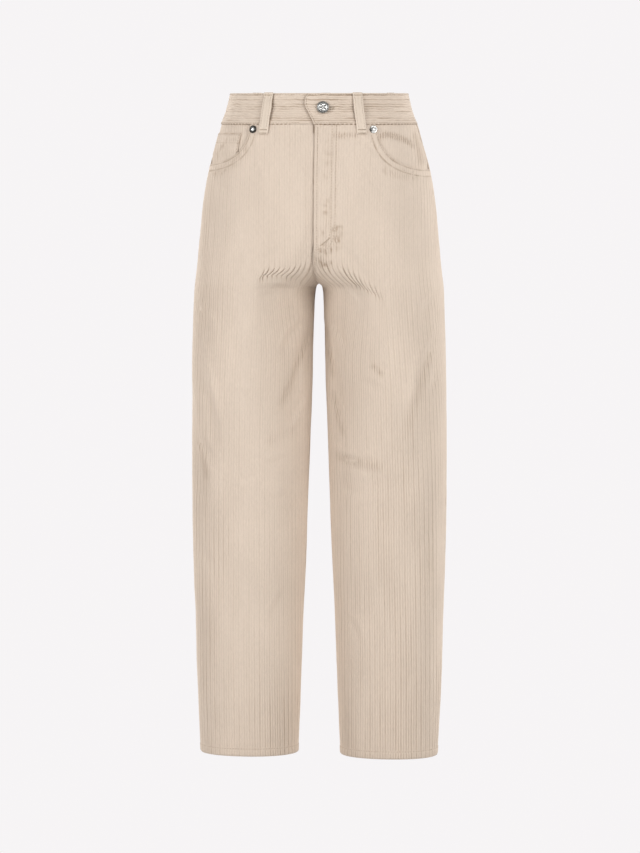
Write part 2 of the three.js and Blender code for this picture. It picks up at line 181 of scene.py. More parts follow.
def centre_cut(side, face, height):
    """X of the panel's centre edge, with the lap of the fly, seen from its own half."""
    if face > 0:
        return np.full_like(height, GAP / 2)
    edge = FLY_EDGE * ease(height, CROTCH, FLY_LAP_END)
    lap = FLY_LAP * ease(height, FLY_LAP_END - FLY_FADE, FLY_LAP_END) if side < 0 else 0
    return side * edge + GAP / 2 - lap


GRAIN_FROM, GRAIN_TO = -215, -420  # the straight wale goes over to the middle of the leg between these


class Panel:
    """One face of one half of the body, as a table of sections from the centre edge to the side seam."""

    HEIGHTS = np.unique(np.concatenate([np.arange(-972, 28, 1.5), np.arange(-275, -240, 0.25)]))
    SAMPLES = 900
    SHARES = np.linspace(0, 1, 321)

    def __init__(self, side, face, plain=False):
        self.side, self.face = side, face
        z = self.HEIGHTS[:, None]
        outer, inner, power, fold = level("outer", z), inner_end(z), level("power", z), level("fold", z)
        depth = level("front" if face < 0 else "back", z)
        cut = np.zeros_like(z) if plain else centre_cut(side, face, z)
        centre, reach = (outer + inner) / 2, (outer - inner) / 2
        past = np.clip((centre - cut) / reach, -1, 1)
        start = np.where(past > 0, fold, power)
        first = np.where(past < 1, np.arccos(-np.sign(past) * np.abs(past) ** (start / 2)), np.pi)
        angle = first * (1 - np.linspace(0, 1, self.SAMPLES))
        along = np.cos(angle)
        power = np.where(along < 0, fold, power)
        x = centre + reach * np.sign(along) * np.abs(along) ** (2 / power)
        y = face * np.maximum(depth * np.abs(np.sin(angle)) ** (2 / power), GAP / 2)
        steps = np.hypot(np.diff(x, axis=1), np.diff(y, axis=1))
        arc = np.concatenate([np.zeros_like(z), np.cumsum(steps, axis=1)], axis=1)
        self.length = arc[:, -1]
        self.raw = x, arc
        grain_x = mix(SCOOP_START, (outer + level("gap", z)) / 2, ease(z, GRAIN_FROM, GRAIN_TO))[:, 0]
        self.grain = np.array([np.interp(g, xs, ss) for g, xs, ss in zip(grain_x, x, arc)])
        places = self.SHARES[None, :] * self.length[:, None]
        self.x = np.array([np.interp(s, ss, xs) for s, ss, xs in zip(places, arc, x)])
        self.y = np.array([np.interp(s, ss, ys) for s, ss, ys in zip(places, arc, y)])
        dx, dy = np.gradient(self.x, axis=1), np.gradient(self.y, axis=1)
        size = np.hypot(dx, dy)
        self.nx, self.ny = -face * dy / size, face * dx / size

    def _row(self, height):
        i = np.clip(np.searchsorted(self.HEIGHTS, height) - 1, 0, len(self.HEIGHTS) - 2)
        return i, (height - self.HEIGHTS[i]) / (self.HEIGHTS[i + 1] - self.HEIGHTS[i])

    def _along_height(self, values, height):
        i, t = self._row(height)
        return mix(values[i], values[i + 1], t)

    def length_at(self, height):
        return self._along_height(self.length, height)

    def grain_start(self, height):
        """Distance from the centre edge to the straight wale in the middle of the leg."""
        return self._along_height(self.grain, height)

    def grain_of_x(self, x, height):
        """Grain at an X, in the frame's own sign, for one place or several."""
        xs, heights = np.atleast_1d(x) * self.side, np.atleast_1d(height).astype(float)
        rows, _ = self._row(heights)
        arcs = np.array([np.interp(v, self.raw[0][i], self.raw[1][i]) for v, i in zip(xs, rows)])
        return arcs - self.grain_start(heights)

    def place(self, arc, height, out=0.0):
        """Points at a distance along the section from the centre edge, moved outwards."""
        arc, height = np.broadcast_arrays(np.asarray(arc, float), np.asarray(height, float))
        i, t = self._row(height)
        share = np.clip(arc / self.length_at(height), 0, 1) * (len(self.SHARES) - 1)
        j = np.minimum(share.astype(int), len(self.SHARES) - 2)
        v = share - j
        x, y, nx, ny = (
            mix(mix(table[i, j], table[i, j + 1], v), mix(table[i + 1, j], table[i + 1, j + 1], v), t)
            for table in (self.x, self.y, self.nx, self.ny))
        return np.stack([self.side * (x + nx * out), y + ny * out, height], axis=-1)

    def on_cloth(self, grain, height, out=0.0):
        return self.place(grain + self.grain_start(height), height, out)

    def x_path(self, places, step=4.0):
        """A smooth path, as grain and height, through places given as X and Z."""
        x, z = smooth_path(places, step).T
        return np.stack([self.grain_of_x(x, z), z], axis=1)


# ------------------------------------------------------------------ creases

# Each is a soft trough with a low ridge beside it: which panel, how deep, how wide, how much of a ridge,
# and the places that it runs through, as X and Z.
CREASE_COLUMNS = ("side", "face", "depth", "spread", "ridge", "places")
CREASES = named_rows(CREASE_COLUMNS, (
    # under the waistband and beside the fly
    (1, -1, 1.0, 3.2, 0.5, ((24, -36), (40, -38), (56, -42), (72, -49))),
    (1, -1, 0.9, 3.8, 0.5, ((62, -44), (78, -52), (92, -62), (108, -72))),
    (1, -1, 0.8, 3.0, 0.4, ((27, -112), (38, -117), (50, -121))),
    (1, -1, 0.9, 3.0, 0.5, ((28, -124), (37, -130), (48, -137))),
    (1, -1, 0.7, 2.8, 0.4, ((31, -138), (38, -144), (46, -150))),
    (1, -1, 0.6, 5.0, 0.4, ((46, -60), (52, -92), (50, -118))),
    (-1, -1, 0.7, 3.4, 0.5, ((-14, -34), (-30, -37), (-46, -39))),
    (-1, -1, 0.7, 4.2, 0.4, ((-18, -44), (-38, -52), (-62, -56))),
    (-1, -1, 0.6, 4.2, 0.4, ((-78, -66), (-66, -92), (-62, -122))),
    (-1, -1, 0.7, 5.5, 0.4, ((-148, -108), (-118, -124), (-92, -130))),
    (1, -1, 0.7, 5.5, 0.4, ((150, -112), (122, -122), (98, -136))),
    # fanning out from the crotch
    (1, -1, 0.9, 6.5, 0.7, ((30, -190), (48, -206), (74, -240), (102, -280))),
    (1, -1, 0.8, 5.5, 0.6, ((16, -226), (36, -240), (60, -262), (86, -298))),
    (1, -1, 0.7, 5.0, 0.6, ((8, -246), (26, -262), (44, -284))),
    (1, -1, 0.6, 6.5, 0.6, ((62, -196), (88, -214), (118, -246))),
    (-1, -1, 0.9, 4.0, 0.8, ((-10, -254), (-30, -248), (-52, -245), (-80, -249))),
    (-1, -1, 0.6, 5.5, 0.6, ((-6, -240), (-30, -252), (-62, -270), (-84, -292))),
    (-1, -1, 0.6, 5.0, 0.6, ((-8, -256), (-26, -272), (-42, -294))),
    (-1, -1, 0.6, 6.5, 0.6, ((-22, -196), (-52, -212), (-88, -222), (-118, -240))),
    # down the inside of the thighs
    (-1, -1, 1.7, 6.5, 0.6, ((-7, -322), (-24, -358), (-29, -406), (-43, -436))),
    (-1, -1, 1.4, 6.0, 0.5, ((-14, -306), (-40, -338), (-50, -378))),
    (-1, -1, 1.2, 5.5, 0.5, ((-16, -412), (-32, -448), (-52, -474))),
    (1, -1, 1.6, 6.0, 0.6, ((13, -328), (20, -368), (31, -392), (41, -416))),
    (1, -1, 1.7, 5.5, 0.5, ((22, -418), (31, -440), (44, -464))),
    (1, -1, 1.3, 6.0, 0.5, ((16, -300), (38, -330), (52, -366))),
    (1, -1, 1.0, 5.0, 0.5, ((16, -470), (34, -492), (58, -506))),
    # down the outside of the thighs
    (1, -1, 2.4, 7.5, 0.6, ((184, -326), (164, -372), (158, -420), (148, -482))),
    (1, -1, 1.5, 6.0, 0.5, ((182, -384), (170, -414), (166, -446))),
    (1, -1, 1.2, 6.5, 0.5, ((180, -268), (160, -300), (146, -340))),
    (-1, -1, 2.2, 7.5, 0.6, ((-176, -372), (-156, -424), (-148, -470), (-144, -516))),
    (-1, -1, 1.6, 6.5, 0.5, ((-182, -474), (-156, -504), (-142, -540))),
    (-1, -1, 1.2, 6.5, 0.5, ((-180, -276), (-158, -312), (-150, -352))),
    (-1, -1, 1.0, 5.5, 0.5, ((-180, -338), (-166, -362), (-158, -398))),
    # across the knees
    (1, -1, 1.0, 4.5, 0.6, ((88, -369), (104, -374), (120, -383))),
    (1, -1, 0.9, 5.0, 0.5, ((66, -398), (88, -402), (112, -414))),
    (1, -1, 1.2, 4.5, 0.6, ((30, -508), (52, -514), (76, -511), (96, -519))),
    (1, -1, 0.9, 4.0, 0.6, ((60, -526), (84, -530), (108, -525))),
    (1, -1, 0.8, 4.5, 0.5, ((112, -494), (136, -502), (158, -498))),
    (1, -1, 0.8, 5.0, 0.5, ((34, -552), (58, -560), (82, -562))),
    (-1, -1, 0.9, 5.0, 0.5, ((-122, -392), (-96, -400), (-72, -396))),
    (-1, -1, 1.0, 4.5, 0.5, ((-40, -512), (-64, -518), (-92, -512))),
    (-1, -1, 0.8, 4.5, 0.5, ((-78, -536), (-104, -542), (-128, -536))),
    (-1, -1, 0.8, 5.0, 0.5, ((-34, -566), (-58, -572), (-80, -566))),
    # small ones low on the legs
    (1, -1, 0.8, 6.0, 0.4, ((176, -610), (158, -634), (142, -668))),
    (-1, -1, 0.8, 6.0, 0.4, ((-178, -636), (-160, -664), (-150, -700))),
    (1, -1, 0.7, 6.0, 0.4, ((40, -742), (58, -764), (66, -800))),
    (-1, -1, 0.7, 6.0, 0.4, ((-42, -708), (-58, -734), (-64, -770))),
    (1, -1, 0.6, 6.5, 0.4, ((150, -812), (138, -840), (134, -880))),
    (-1, -1, 0.6, 6.5, 0.4, ((-152, -838), (-140, -862), (-136, -896))),
    # the back: from the yoke, under the seat, and behind the knees
    (-1, 1, 0.7, 5.0, 0.4, ((-8, -112), (-24, -124), (-40, -130))),
    (1, 1, 0.7, 5.0, 0.4, ((10, -118), (26, -128), (42, -132))),
    (-1, 1, 1.6, 6.5, 0.6, ((-12, -232), (-44, -248), (-84, -268), (-122, -276))),
    (1, 1, 1.6, 6.5, 0.6, ((10, -236), (42, -254), (80, -270), (126, -272))),
    (-1, 1, 1.9, 6.0, 0.6, ((-10, -252), (-34, -276), (-64, -302), (-102, -314))),
    (1, 1, 1.8, 6.0, 0.6, ((12, -250), (32, -278), (66, -300), (96, -318))),
    (-1, 1, 1.5, 6.0, 0.5, ((-12, -290), (-32, -322), (-56, -346))),
    (1, 1, 1.4, 6.0, 0.5, ((14, -296), (36, -324), (62, -350))),
    (-1, 1, 1.2, 6.5, 0.5, ((-180, -284), (-158, -310), (-136, -322))),
    (1, 1, 1.2, 6.5, 0.5, ((180, -292), (156, -316), (132, -326))),
    (-1, 1, 2.2, 6.5, 0.6, ((-18, -336), (-30, -380), (-36, -424), (-50, -458))),
    (1, 1, 2.2, 6.5, 0.6, ((20, -340), (30, -384), (38, -430), (54, -462))),
    (-1, 1, 2.1, 7.0, 0.6, ((-182, -350), (-162, -396), (-156, -446), (-146, -492))),
    (1, 1, 2.1, 7.0, 0.6, ((182, -356), (160, -402), (154, -452), (148, -500))),
    (-1, 1, 1.5, 5.0, 0.7, ((-34, -488), (-62, -500), (-98, -498), (-134, -490))),
    (1, 1, 1.5, 5.0, 0.7, ((32, -484), (66, -498), (96, -500), (138, -486))),
    (-1, 1, 1.3, 5.0, 0.7, ((-48, -514), (-82, -524), (-118, -518))),
    (1, 1, 1.3, 5.0, 0.7, ((44, -520), (84, -526), (122, -522))),
    (-1, 1, 1.1, 5.0, 0.6, ((-30, -546), (-58, -556), (-90, -552))),
    (1, 1, 1.1, 5.0, 0.6, ((28, -542), (62, -558), (94, -556))),
    (-1, 1, 0.9, 5.5, 0.5, ((-170, -560), (-146, -580), (-122, -584))),
    (1, 1, 0.9, 5.5, 0.5, ((172, -556), (144, -578), (118, -586))),
    (-1, 1, 0.8, 6.5, 0.4, ((-40, -700), (-58, -728), (-64, -768))),
    (1, 1, 0.8, 6.5, 0.4, ((44, -716), (60, -742), (62, -780))),
    (-1, 1, 0.8, 6.5, 0.4, ((-168, -780), (-148, -812), (-140, -850))),
    (1, 1, 0.8, 6.5, 0.4, ((166, -770), (150, -806), (144, -842))),
))
CREASE_FADE, CREASE_END = 3.0, 4.5  # where a crease begins to fade out beside its path, in spreads
RIDGE_AT = 1.9  # a ridge's distance from its trough, in spreads
RIDGE_LEAN = 0.6  # how much higher the ridge is on one side

# Where the wales are pulled aside towards the crotch: for some wales, named by their grain, the heights
# between which they bend, and how far they end up towards the side seam.
BENDS = {
    (1, -1): ((-92, -226, -257, 9), (-80, -222, -257, 17), (-66, -222, -256, 19), (-46, -220, -255, 19),
              (-30, -228, -260, 15), (-18, -238, -266, 12), (-5, -247, -270, 8), (8, -257, -274, 3),
              (16, -260, -276, 0)),
    (-1, -1): ((-100, -222, -254, 4), (-90, -212, -249, 12), (-76, -222, -244, 14), (-60, -227, -241, 13),
               (-46, -228, -241, 12), (-31, -228, -243, 10), (-22, -232, -246, 6), (-12, -236, -246, 0)),
    (1, 1): ((-160, -226, -266, 5), (-92, -220, -268, 14), (-50, -236, -276, 10), (-5, -250, -282, 0)),
    (-1, 1): ((-160, -230, -266, 5), (-92, -224, -266, 13), (-56, -238, -274, 11), (0, -252, -280, 0)),
}
BEND_BACK = 130.0  # height in which they straighten out again

# Where the cloth is crimped, so that its wales stand deeper, or lumpy. Each row has the panel, how much
# deeper and how lumpy it is, how wide, and the places that it runs through, as X and Z.
CRIMP_COLUMNS = ("side", "face", "deeper", "lumpy", "spread", "places")
CRIMPS = named_rows(CRIMP_COLUMNS, (
    # beside the fly's curved row of stitches, and under its end
    (1, -1, 0.5, 1.4, 6.0, ((21, -128), (25, -150), (22, -176), (13, -190))),
    (1, -1, 1.0, 2.6, 8.0, ((38, -166), (35, -190), (24, -202), (10, -208))),
    (1, -1, 1.2, 2.4, 10.0, ((8, -214), (18, -224), (30, -230))),
    (1, -1, 0.3, 0.5, 6.0, ((26, -34), (25, -70), (23, -110))),
    # under the waistband, and across the pocket's facing
    (1, -1, 1.6, 0.30, 3.2, ((29, -38), (42, -39), (56, -38), (69, -40))),
    (1, -1, 3.0, 0.3, 3.6, ((95, -41), (106, -38), (118, -40), (129, -44), (139, -50), (146, -58))),
    (1, -1, 1.5, 0.0, 7.0, ((143, -32), (151, -60), (156, -84))),
    # along the pockets' edges
    (1, -1, 0.5, 0.55, 4.5, ((100, -86), (116, -94), (134, -98), (152, -99))),
    (1, -1, 0.4, 0.40, 3.5, ((122, -88), (138, -92), (150, -92))),
    (-1, -1, 0.5, 0.75, 6.0, ((-98, -50), (-104, -66), (-118, -80), (-136, -90), (-156, -95))),
    (-1, -1, 0.4, 0.55, 5.0, ((-112, -40), (-124, -48), (-140, -56), (-150, -78))),
    (-1, -1, 1.2, 0.2, 7.0, ((-146, -34), (-152, -60), (-156, -84))),
    # across the knees and beside the inner seams
    (-1, -1, 0.7, 0.1, 7.0, ((-177, -484), (-168, -512), (-158, -545))),
    (1, -1, 0.5, 0.1, 7.0, ((174, -350), (160, -392), (146, -440), (134, -490))),
    (1, -1, 0.9, 0.3, 6.5, ((26, -508), (50, -515), (76, -518), (108, -522))),
    (1, -1, 0.8, 0.3, 5.0, ((84, -372), (96, -378), (106, -388))),
    (-1, -1, 0.4, 0.2, 8.0, ((-28, -472), (-50, -478), (-72, -488))),
    (1, -1, 1.1, 0.15, 6.5, ((10, -350), (17, -376), (22, -398))),
    (1, -1, 1.1, 0.15, 6.5, ((20, -412), (30, -448), (42, -482))),
    (-1, -1, 1.1, 0.15, 6.5, ((-12, -338), (-24, -370), (-38, -405), (-50, -438))),
    # behind the knees and under the seat
    (-1, 1, 0.8, 0.4, 10.0, ((-30, -486), (-66, -500), (-104, -498), (-138, -490))),
    (1, 1, 0.8, 0.4, 10.0, ((30, -484), (66, -498), (98, -500), (140, -486))),
    (-1, 1, 0.9, 0.4, 9.0, ((-10, -240), (-30, -262), (-60, -284), (-100, -296))),
    (1, 1, 0.9, 0.4, 9.0, ((10, -242), (30, -264), (62, -286), (98, -298))),
    (-1, 1, 0.4, 0.45, 6.0, ((-6, -96), (-10, -140), (-8, -200), (-6, -240))),
    (1, 1, 0.4, 0.45, 6.0, ((6, -96), (10, -140), (8, -200), (6, -240))),
))

# Gentle unevenness everywhere, as the size of its swells and their depth.
SWELLS = ((52, 85, 0.55), (21, 34, 0.22), (9, 15, 0.09))

# Ribs: a broad groove and a fine one by turns.
RIB_PERIOD = 7.8
RIB_OFFSETS = (0, 0.55, 1.95, 3.4, 3.9, 4.4, 5.85, 7.25)
BROAD_GROOVE = 0.8
FINE_GROOVE = 0.62
# painted shade, at the bottom of the grooves and in the hollows of lumps
PLAIN_SHADE = 0.55  # how dark the bottom of an ordinary groove is
FINE_SHADE = 0.85  # of that, in the fine grooves
LUMP_SHADE = 0.9  # in the hollows of lumps, for each millimetre
TURNED = 0.25  # how much the broad grooves gain on the fine ones towards both seams
# where the cloth is pulled aside
PULLED_DEEPER = 2.2
# painted shade added in the grooves where the cloth is pulled aside
PULLED_DARKER = 0.65
PULLED_RAISED = 0.5
PULLED_UNEVEN = 0.45
PULLED_SMOOTH = 0.8  # how much of the fine grooves it takes away
# How clear the wales are, by height, from the centre or the inner seam to the side seam in quarters.
CLEAR = {
    -1: ((-900, 1.2, 1.2, 0.5, 1.2, 1.4), (-680, 0.6, 0.6, 0.35, 1.1, 1.4),
         (-500, 0.5, 0.45, 0.5, 1.25, 1.45), (-300, 0.6, 0.6, 0.45, 1.25, 1.45),
         (-160, 0.5, 0.42, 0.42, 1.1, 1.4), (-40, 0.45, 0.42, 0.42, 0.8, 1.15)),
    1: ((-900, 1.5, 1.4, 1.0, 1.1, 1.2), (-680, 1.1, 1.1, 1.0, 0.95, 1.15),
        (-500, 1.1, 1.1, 0.85, 0.85, 1.1), (-300, 1.1, 1.0, 0.5, 0.9, 1.1),
        (-160, 0.5, 0.35, 0.3, 0.65, 1.05), (-40, 0.5, 0.4, 0.3, 0.5, 1.0)),
}
RIB_SWAY = 0.35


class Noise:
    """Smooth seeded noise from -1 to 1, with cells of the given sizes."""

    SIZE = 64

    def __init__(self, cell_a, cell_b):
        self.cells = cell_a, cell_b
        self.table = RANDOM.uniform(-1, 1, (self.SIZE, self.SIZE))

    def __call__(self, a, b):
        u, v = a / self.cells[0], b / self.cells[1]
        i, j = np.floor(u).astype(int), np.floor(v).astype(int)
        s, t = ease(u - i), ease(v - j)
        i0, i1, j0, j1 = (k % self.SIZE for k in (i, i + 1, j, j + 1))
        table = self.table
        return mix(mix(table[i0, j0], table[i1, j0], s), mix(table[i0, j1], table[i1, j1], s), t)


def smooth_path(places, step=6.0):
    """A smooth run of points through a few, about a step apart."""
    knots = np.asarray(places, float)
    ends = 2 * knots[0] - knots[1], 2 * knots[-1] - knots[-2]
    around = np.vstack([ends[0], knots, ends[1]])
    made = []
    for a, b, c, d in zip(around, around[1:], around[2:], around[3:]):
        count = max(1, int(np.ceil(np.linalg.norm(c - b) / step)))
        t = np.arange(count)[:, None] / count
        made.append(0.5 * (2 * b + (c - a) * t + (2 * a - 5 * b + 4 * c - d) * t ** 2
                           + (3 * b - a - 3 * c + d) * t ** 3))
    return np.vstack([*made, knots[-1:]])


def lengths_along(path):
    return np.concatenate([[0], np.cumsum(np.linalg.norm(np.diff(path, axis=0), axis=1))])


def offset_path(path, distance):
    """A path in a plane moved to its left."""
    run = np.gradient(path, axis=0)
    run /= np.linalg.norm(run, axis=1, keepdims=True)
    return path + distance * np.stack([-run[:, 1], run[:, 0]], axis=1)


def near_path(path, a, b, reach):
    """The places within reach of a path: their indexes, signed distances and shares of its length."""
    low, high = path.min(axis=0) - reach, path.max(axis=0) + reach
    found = np.flatnonzero((a > low[0]) & (a < high[0]) & (b > low[1]) & (b < high[1]))
    best = np.full(len(found), np.inf)
    signed, share = np.zeros(len(found)), np.zeros(len(found))
    along = lengths_along(path)
    for start, end, done in zip(path, path[1:], along):
        run = end - start
        size = np.linalg.norm(run)
        if not size:
            continue
        to_a, to_b = a[found] - start[0], b[found] - start[1]
        t = np.clip((to_a * run[0] + to_b * run[1]) / size ** 2, 0, 1)
        off_a, off_b = to_a - t * run[0], to_b - t * run[1]
        distance = np.hypot(off_a, off_b)
        closer = distance < best
        best[closer] = distance[closer]
        turn = run[0] * off_b - run[1] * off_a
        signed[closer] = (np.sign(turn) * distance)[closer]
        share[closer] = ((done + t * size) / along[-1])[closer]
    inside = best < reach
    return found[inside], signed[inside], share[inside]


class Body:
    """The four faces of the body, and how worn cloth lies on each."""

    def __init__(self):
        self.panels = {key: Panel(*key) for key in KEYS}
        self.plain = {key: Panel(*key, plain=True) for key in KEYS}
        self.swells = {key: [(Noise(a, b), depth) for a, b, depth in SWELLS] for key in KEYS}
        self.creases = {key: [] for key in KEYS}
        for row in CREASES:
            key, path = self.on_panel(row)
            self.creases[key].append((path, row, RANDOM.uniform(0, 99), RANDOM.choice((-1, 1))))
        self.uneven = Noise(0.16, 1.0)
        self.crimps = {key: [] for key in KEYS}
        for row in CRIMPS:
            key, path = self.on_panel(row)
            self.crimps[key].append((path, row))
        self.lumps = Noise(4.2, 6.0), Noise(7.5, 5.0)

    def on_panel(self, row):
        """The panel that a row is on, and its path there as grain and height."""
        key = row["side"], row["face"]
        return key, self.panels[key].x_path(row["places"], 6.0)

    def crimp(self, key, grain, height):
        """How much deeper the wales are, and how far lumps raise the cloth."""
        shape = np.shape(grain)
        grain, height = np.ravel(grain), np.ravel(height)
        deeper, lumpy = np.zeros(len(grain)), np.zeros(len(grain))
        for path, row in self.crimps[key]:
            i, distance, share = near_path(path, grain, height, 2.4 * row["spread"])
            near = np.exp(-(distance / row["spread"]) ** 2)
            near = near * np.sqrt(ease(share, 0, 0.15) * ease(1 - share, 0, 0.2))
            deeper[i] = np.maximum(deeper[i], near * row["deeper"])
            lumpy[i] = np.maximum(lumpy[i], near * row["lumpy"])
        lumps = 0.6 * self.lumps[0](grain, height) + 0.5 * self.lumps[1](grain, height)
        return deeper.reshape(shape), (lumpy * lumps).reshape(shape)

    def relief(self, key, grain, height):
        """How far the cloth stands out of its plain form, without its ribs."""
        panel = self.panels[key]
        shape = np.shape(grain)
        grain, height = np.ravel(grain), np.ravel(height)
        out = np.zeros(len(grain))
        across = panel.length_at(height) - grain - panel.grain_start(height)
        for fold in FOLDS:
            if (fold["side"], fold["face"]) != key:
                continue
            path = np.array([(fold["across1"], fold["height1"]), (fold["across2"], fold["height2"])], float)
            i, distance, _ = near_path(path, across, height, 3 * fold["spread"])
            out[i] -= fold["depth"] * np.exp(-(distance / fold["spread"]) ** 2)
        for noise, depth in self.swells[key]:
            out += depth * noise(grain, height) * ease(height, BAND_SEAM - 2, -60)
        for path, row, seed, lean in self.creases[key]:
            spread = row["spread"]
            i, distance, share = near_path(path, grain, height, CREASE_END * spread)
            wide = spread * (1 + 0.22 * self.uneven(share, np.full(len(share), seed)))
            envelope = np.sqrt(ease(share, 0, 0.4)) * ease(1 - share, 0, 0.55)
            envelope = envelope * (1 + 0.3 * self.uneven(share, np.full(len(share), seed + 7)))
            reach = 1 - ease(np.abs(distance), CREASE_FADE * spread, CREASE_END * spread)
            trough = np.exp(-(distance / wide) ** 2)
            ridge = np.exp(-((np.abs(distance) / wide - RIDGE_AT) / 0.85) ** 2)
            ridge = ridge * row["ridge"] * (1 + RIDGE_LEAN * lean * np.sign(distance))
            out[i] += row["depth"] * envelope * reach * (ridge - trough)
        return out.reshape(shape)

    @staticmethod
    def bend(key, grain, height):
        """How far a wale is pulled aside, and how much it is in the pull, from 0 to 1."""
        grains, starts, ends, shifts = np.array(BENDS[key], float).T
        start, end, shift = (np.interp(grain, grains, values) for values in (starts, ends, shifts))
        t = np.clip((start - height) / (start - end), 0, 1)
        back = ease(end - height, 0, BEND_BACK)
        pulled = ease(t, 0, 0.55) * (1 - ease(end - height, -2, 9)) * np.clip(shift / 9, 0, 1)
        return shift * t ** 2 * (1 - back), pulled


body = Body()


# ------------------------------------------------------------------ meshes


class Shape:
    """Points and triangles gathered for one mesh, with numbers for its material at each point."""

    def __init__(self):
        self.points, self.triangles, self.patterns, self.grooves = [], [], [], []
        self.count = 0

    def add_points(self, points, pattern=None, painted_shade_and_patina=None):
        points = np.asarray(points, float).reshape(-1, 3)
        first = self.count
        self.points.append(points)
        self.patterns.append(points if pattern is None else np.asarray(pattern, float).reshape(-1, 3))
        self.grooves.append(np.zeros(len(points)) if painted_shade_and_patina is None else np.ravel(painted_shade_and_patina))
        self.count += len(points)
        return first + np.arange(len(points))

    def add_triangles(self, triangles, flip=False):
        triangles = np.asarray(triangles, int).reshape(-1, 3)
        if flip:
            triangles = triangles[:, ::-1]
        a, b, c = triangles.T
        self.triangles.append(triangles[(a != b) & (b != c) & (c != a)])

    def add_grid(self, index, flip=False):
        a, b, c, d = index[:-1, :-1], index[1:, :-1], index[1:, 1:], index[:-1, 1:]
        for corners in ((a, b, c), (a, c, d)):
            self.add_triangles(np.stack(corners, -1), flip)

    def add_ring_grid(self, index):
        """A grid whose rows are closed rings."""
        self.add_grid(np.concatenate([index, index[:, :1]], axis=1))

    def add_strip(self, first, first_at, second, second_at, flip=False):
        """A strip between two runs of points, each with its places along the way."""
        def spread(at):
            at = np.asarray(at, float)
            return (at - at[0]) / (at[-1] - at[0])
        first_at, second_at = spread(first_at), spread(second_at)
        i = j = 0
        made = []
        while i < len(first) - 1 or j < len(second) - 1:
            ahead = i < len(first) - 1
            if ahead and (j == len(second) - 1 or first_at[i + 1] <= second_at[j + 1]):
                made.append((first[i + 1], first[i], second[j]))
                i += 1
            else:
                made.append((first[i], second[j], second[j + 1]))
                j += 1
        self.add_triangles(made, flip)

    def add_fan(self, ring, centre, flip=False):
        """Triangles from a closed ring of points to one."""
        after = np.roll(ring, -1)
        self.add_triangles(np.stack([ring, after, np.full(len(ring), centre)], axis=1), flip)

    def build(self, name, material):
        points = np.vstack(self.points)
        triangles = np.vstack(self.triangles)
        a, b, c = (points[triangles[:, k]] for k in range(3))
        if np.einsum("ij,ij->", a, np.cross(b, c)) < 0:
            triangles = triangles[:, ::-1]
        used, triangles = np.unique(triangles, return_inverse=True)
        triangles = triangles.reshape(-1, 3)
        mesh = bpy.data.meshes.new(name)
        mesh.vertices.add(len(used))
        mesh.vertices.foreach_set("co", (points[used] * MM).astype(np.float32).ravel())
        mesh.loops.add(triangles.size)
        mesh.loops.foreach_set("vertex_index", triangles.astype(np.int32).ravel())
        mesh.polygons.add(len(triangles))
        mesh.polygons.foreach_set("loop_start", np.arange(0, triangles.size, 3, dtype=np.int32))
        pattern = mesh.attributes.new("pattern", "FLOAT_VECTOR", "POINT")
        pattern.data.foreach_set("vector", np.vstack(self.patterns)[used].astype(np.float32).ravel())
        painted_shade_and_patina = mesh.attributes.new("painted_shade_and_patina", "FLOAT", "POINT")
        painted_shade_and_patina.data.foreach_set("value", np.concatenate(self.grooves)[used].astype(np.float32))
        mesh.update(calc_edges=True)
        mesh.validate()
        mesh.shade_smooth()
        mesh.materials.append(material)
        piece = bpy.data.objects.new(name, mesh)
        bpy.context.collection.objects.link(piece)
        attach(piece, "root")
        return piece


# ------------------------------------------------------------------ materials


class Graph:
    """A material's nodes, made and linked by short calls."""

    def __init__(self, name):
        self.material = bpy.data.materials.new(name)
        self.material.use_nodes = True
        self.tree = self.material.node_tree
        self.shader = self.tree.nodes["Principled BSDF"]

    def put(self, socket, value):
        if isinstance(value, bpy.types.NodeSocket):
            self.tree.links.new(value, socket)
        else:
            socket.default_value = value

    def node(self, kind, inputs=None, **settings):
        made = self.tree.nodes.new(kind)
        for key, value in settings.items():
            setattr(made, key, value)
        for key, value in (inputs or {}).items():
            self.put(made.inputs[key], value)
        return made

    def maths(self, operation, a, b=0.0, clamp=False):
        return self.node("ShaderNodeMath", {0: a, 1: b}, operation=operation, use_clamp=clamp).outputs[0]

    def spread(self, value, low, high, to_low, to_high):
        inputs = dict(enumerate((value, low, high, to_low, to_high)))
        return self.node("ShaderNodeMapRange", inputs, clamp=True).outputs[0]

    def blend(self, factor, a, b, kind="MIX"):
        inputs = {"Factor": factor, "A": a, "B": b}
        return self.node("ShaderNodeMix", inputs, data_type="RGBA", blend_type=kind).outputs["Result"]

    def noise(self, vector, scale, stretch=(1, 1, 1), detail=2.0, roughness=0.5):
        moved = self.node("ShaderNodeMapping", {"Vector": vector, "Scale": stretch}).outputs[0]
        inputs = {"Vector": moved, "Scale": scale, "Detail": detail, "Roughness": roughness}
        return self.node("ShaderNodeTexNoise", inputs).outputs["Fac"]

    def attribute(self, name, output):
        return self.node("ShaderNodeAttribute", attribute_name=name).outputs[output]

    def bump(self, height, strength, distance, normal=None):
        inputs = {"Strength": strength, "Distance": distance, "Height": height}
        if normal:
            inputs["Normal"] = normal
        return self.node("ShaderNodeBump", inputs).outputs[0]

    def set(self, **values):
        for key, value in values.items():
            self.put(self.shader.inputs[key.replace("_", " ")], value)


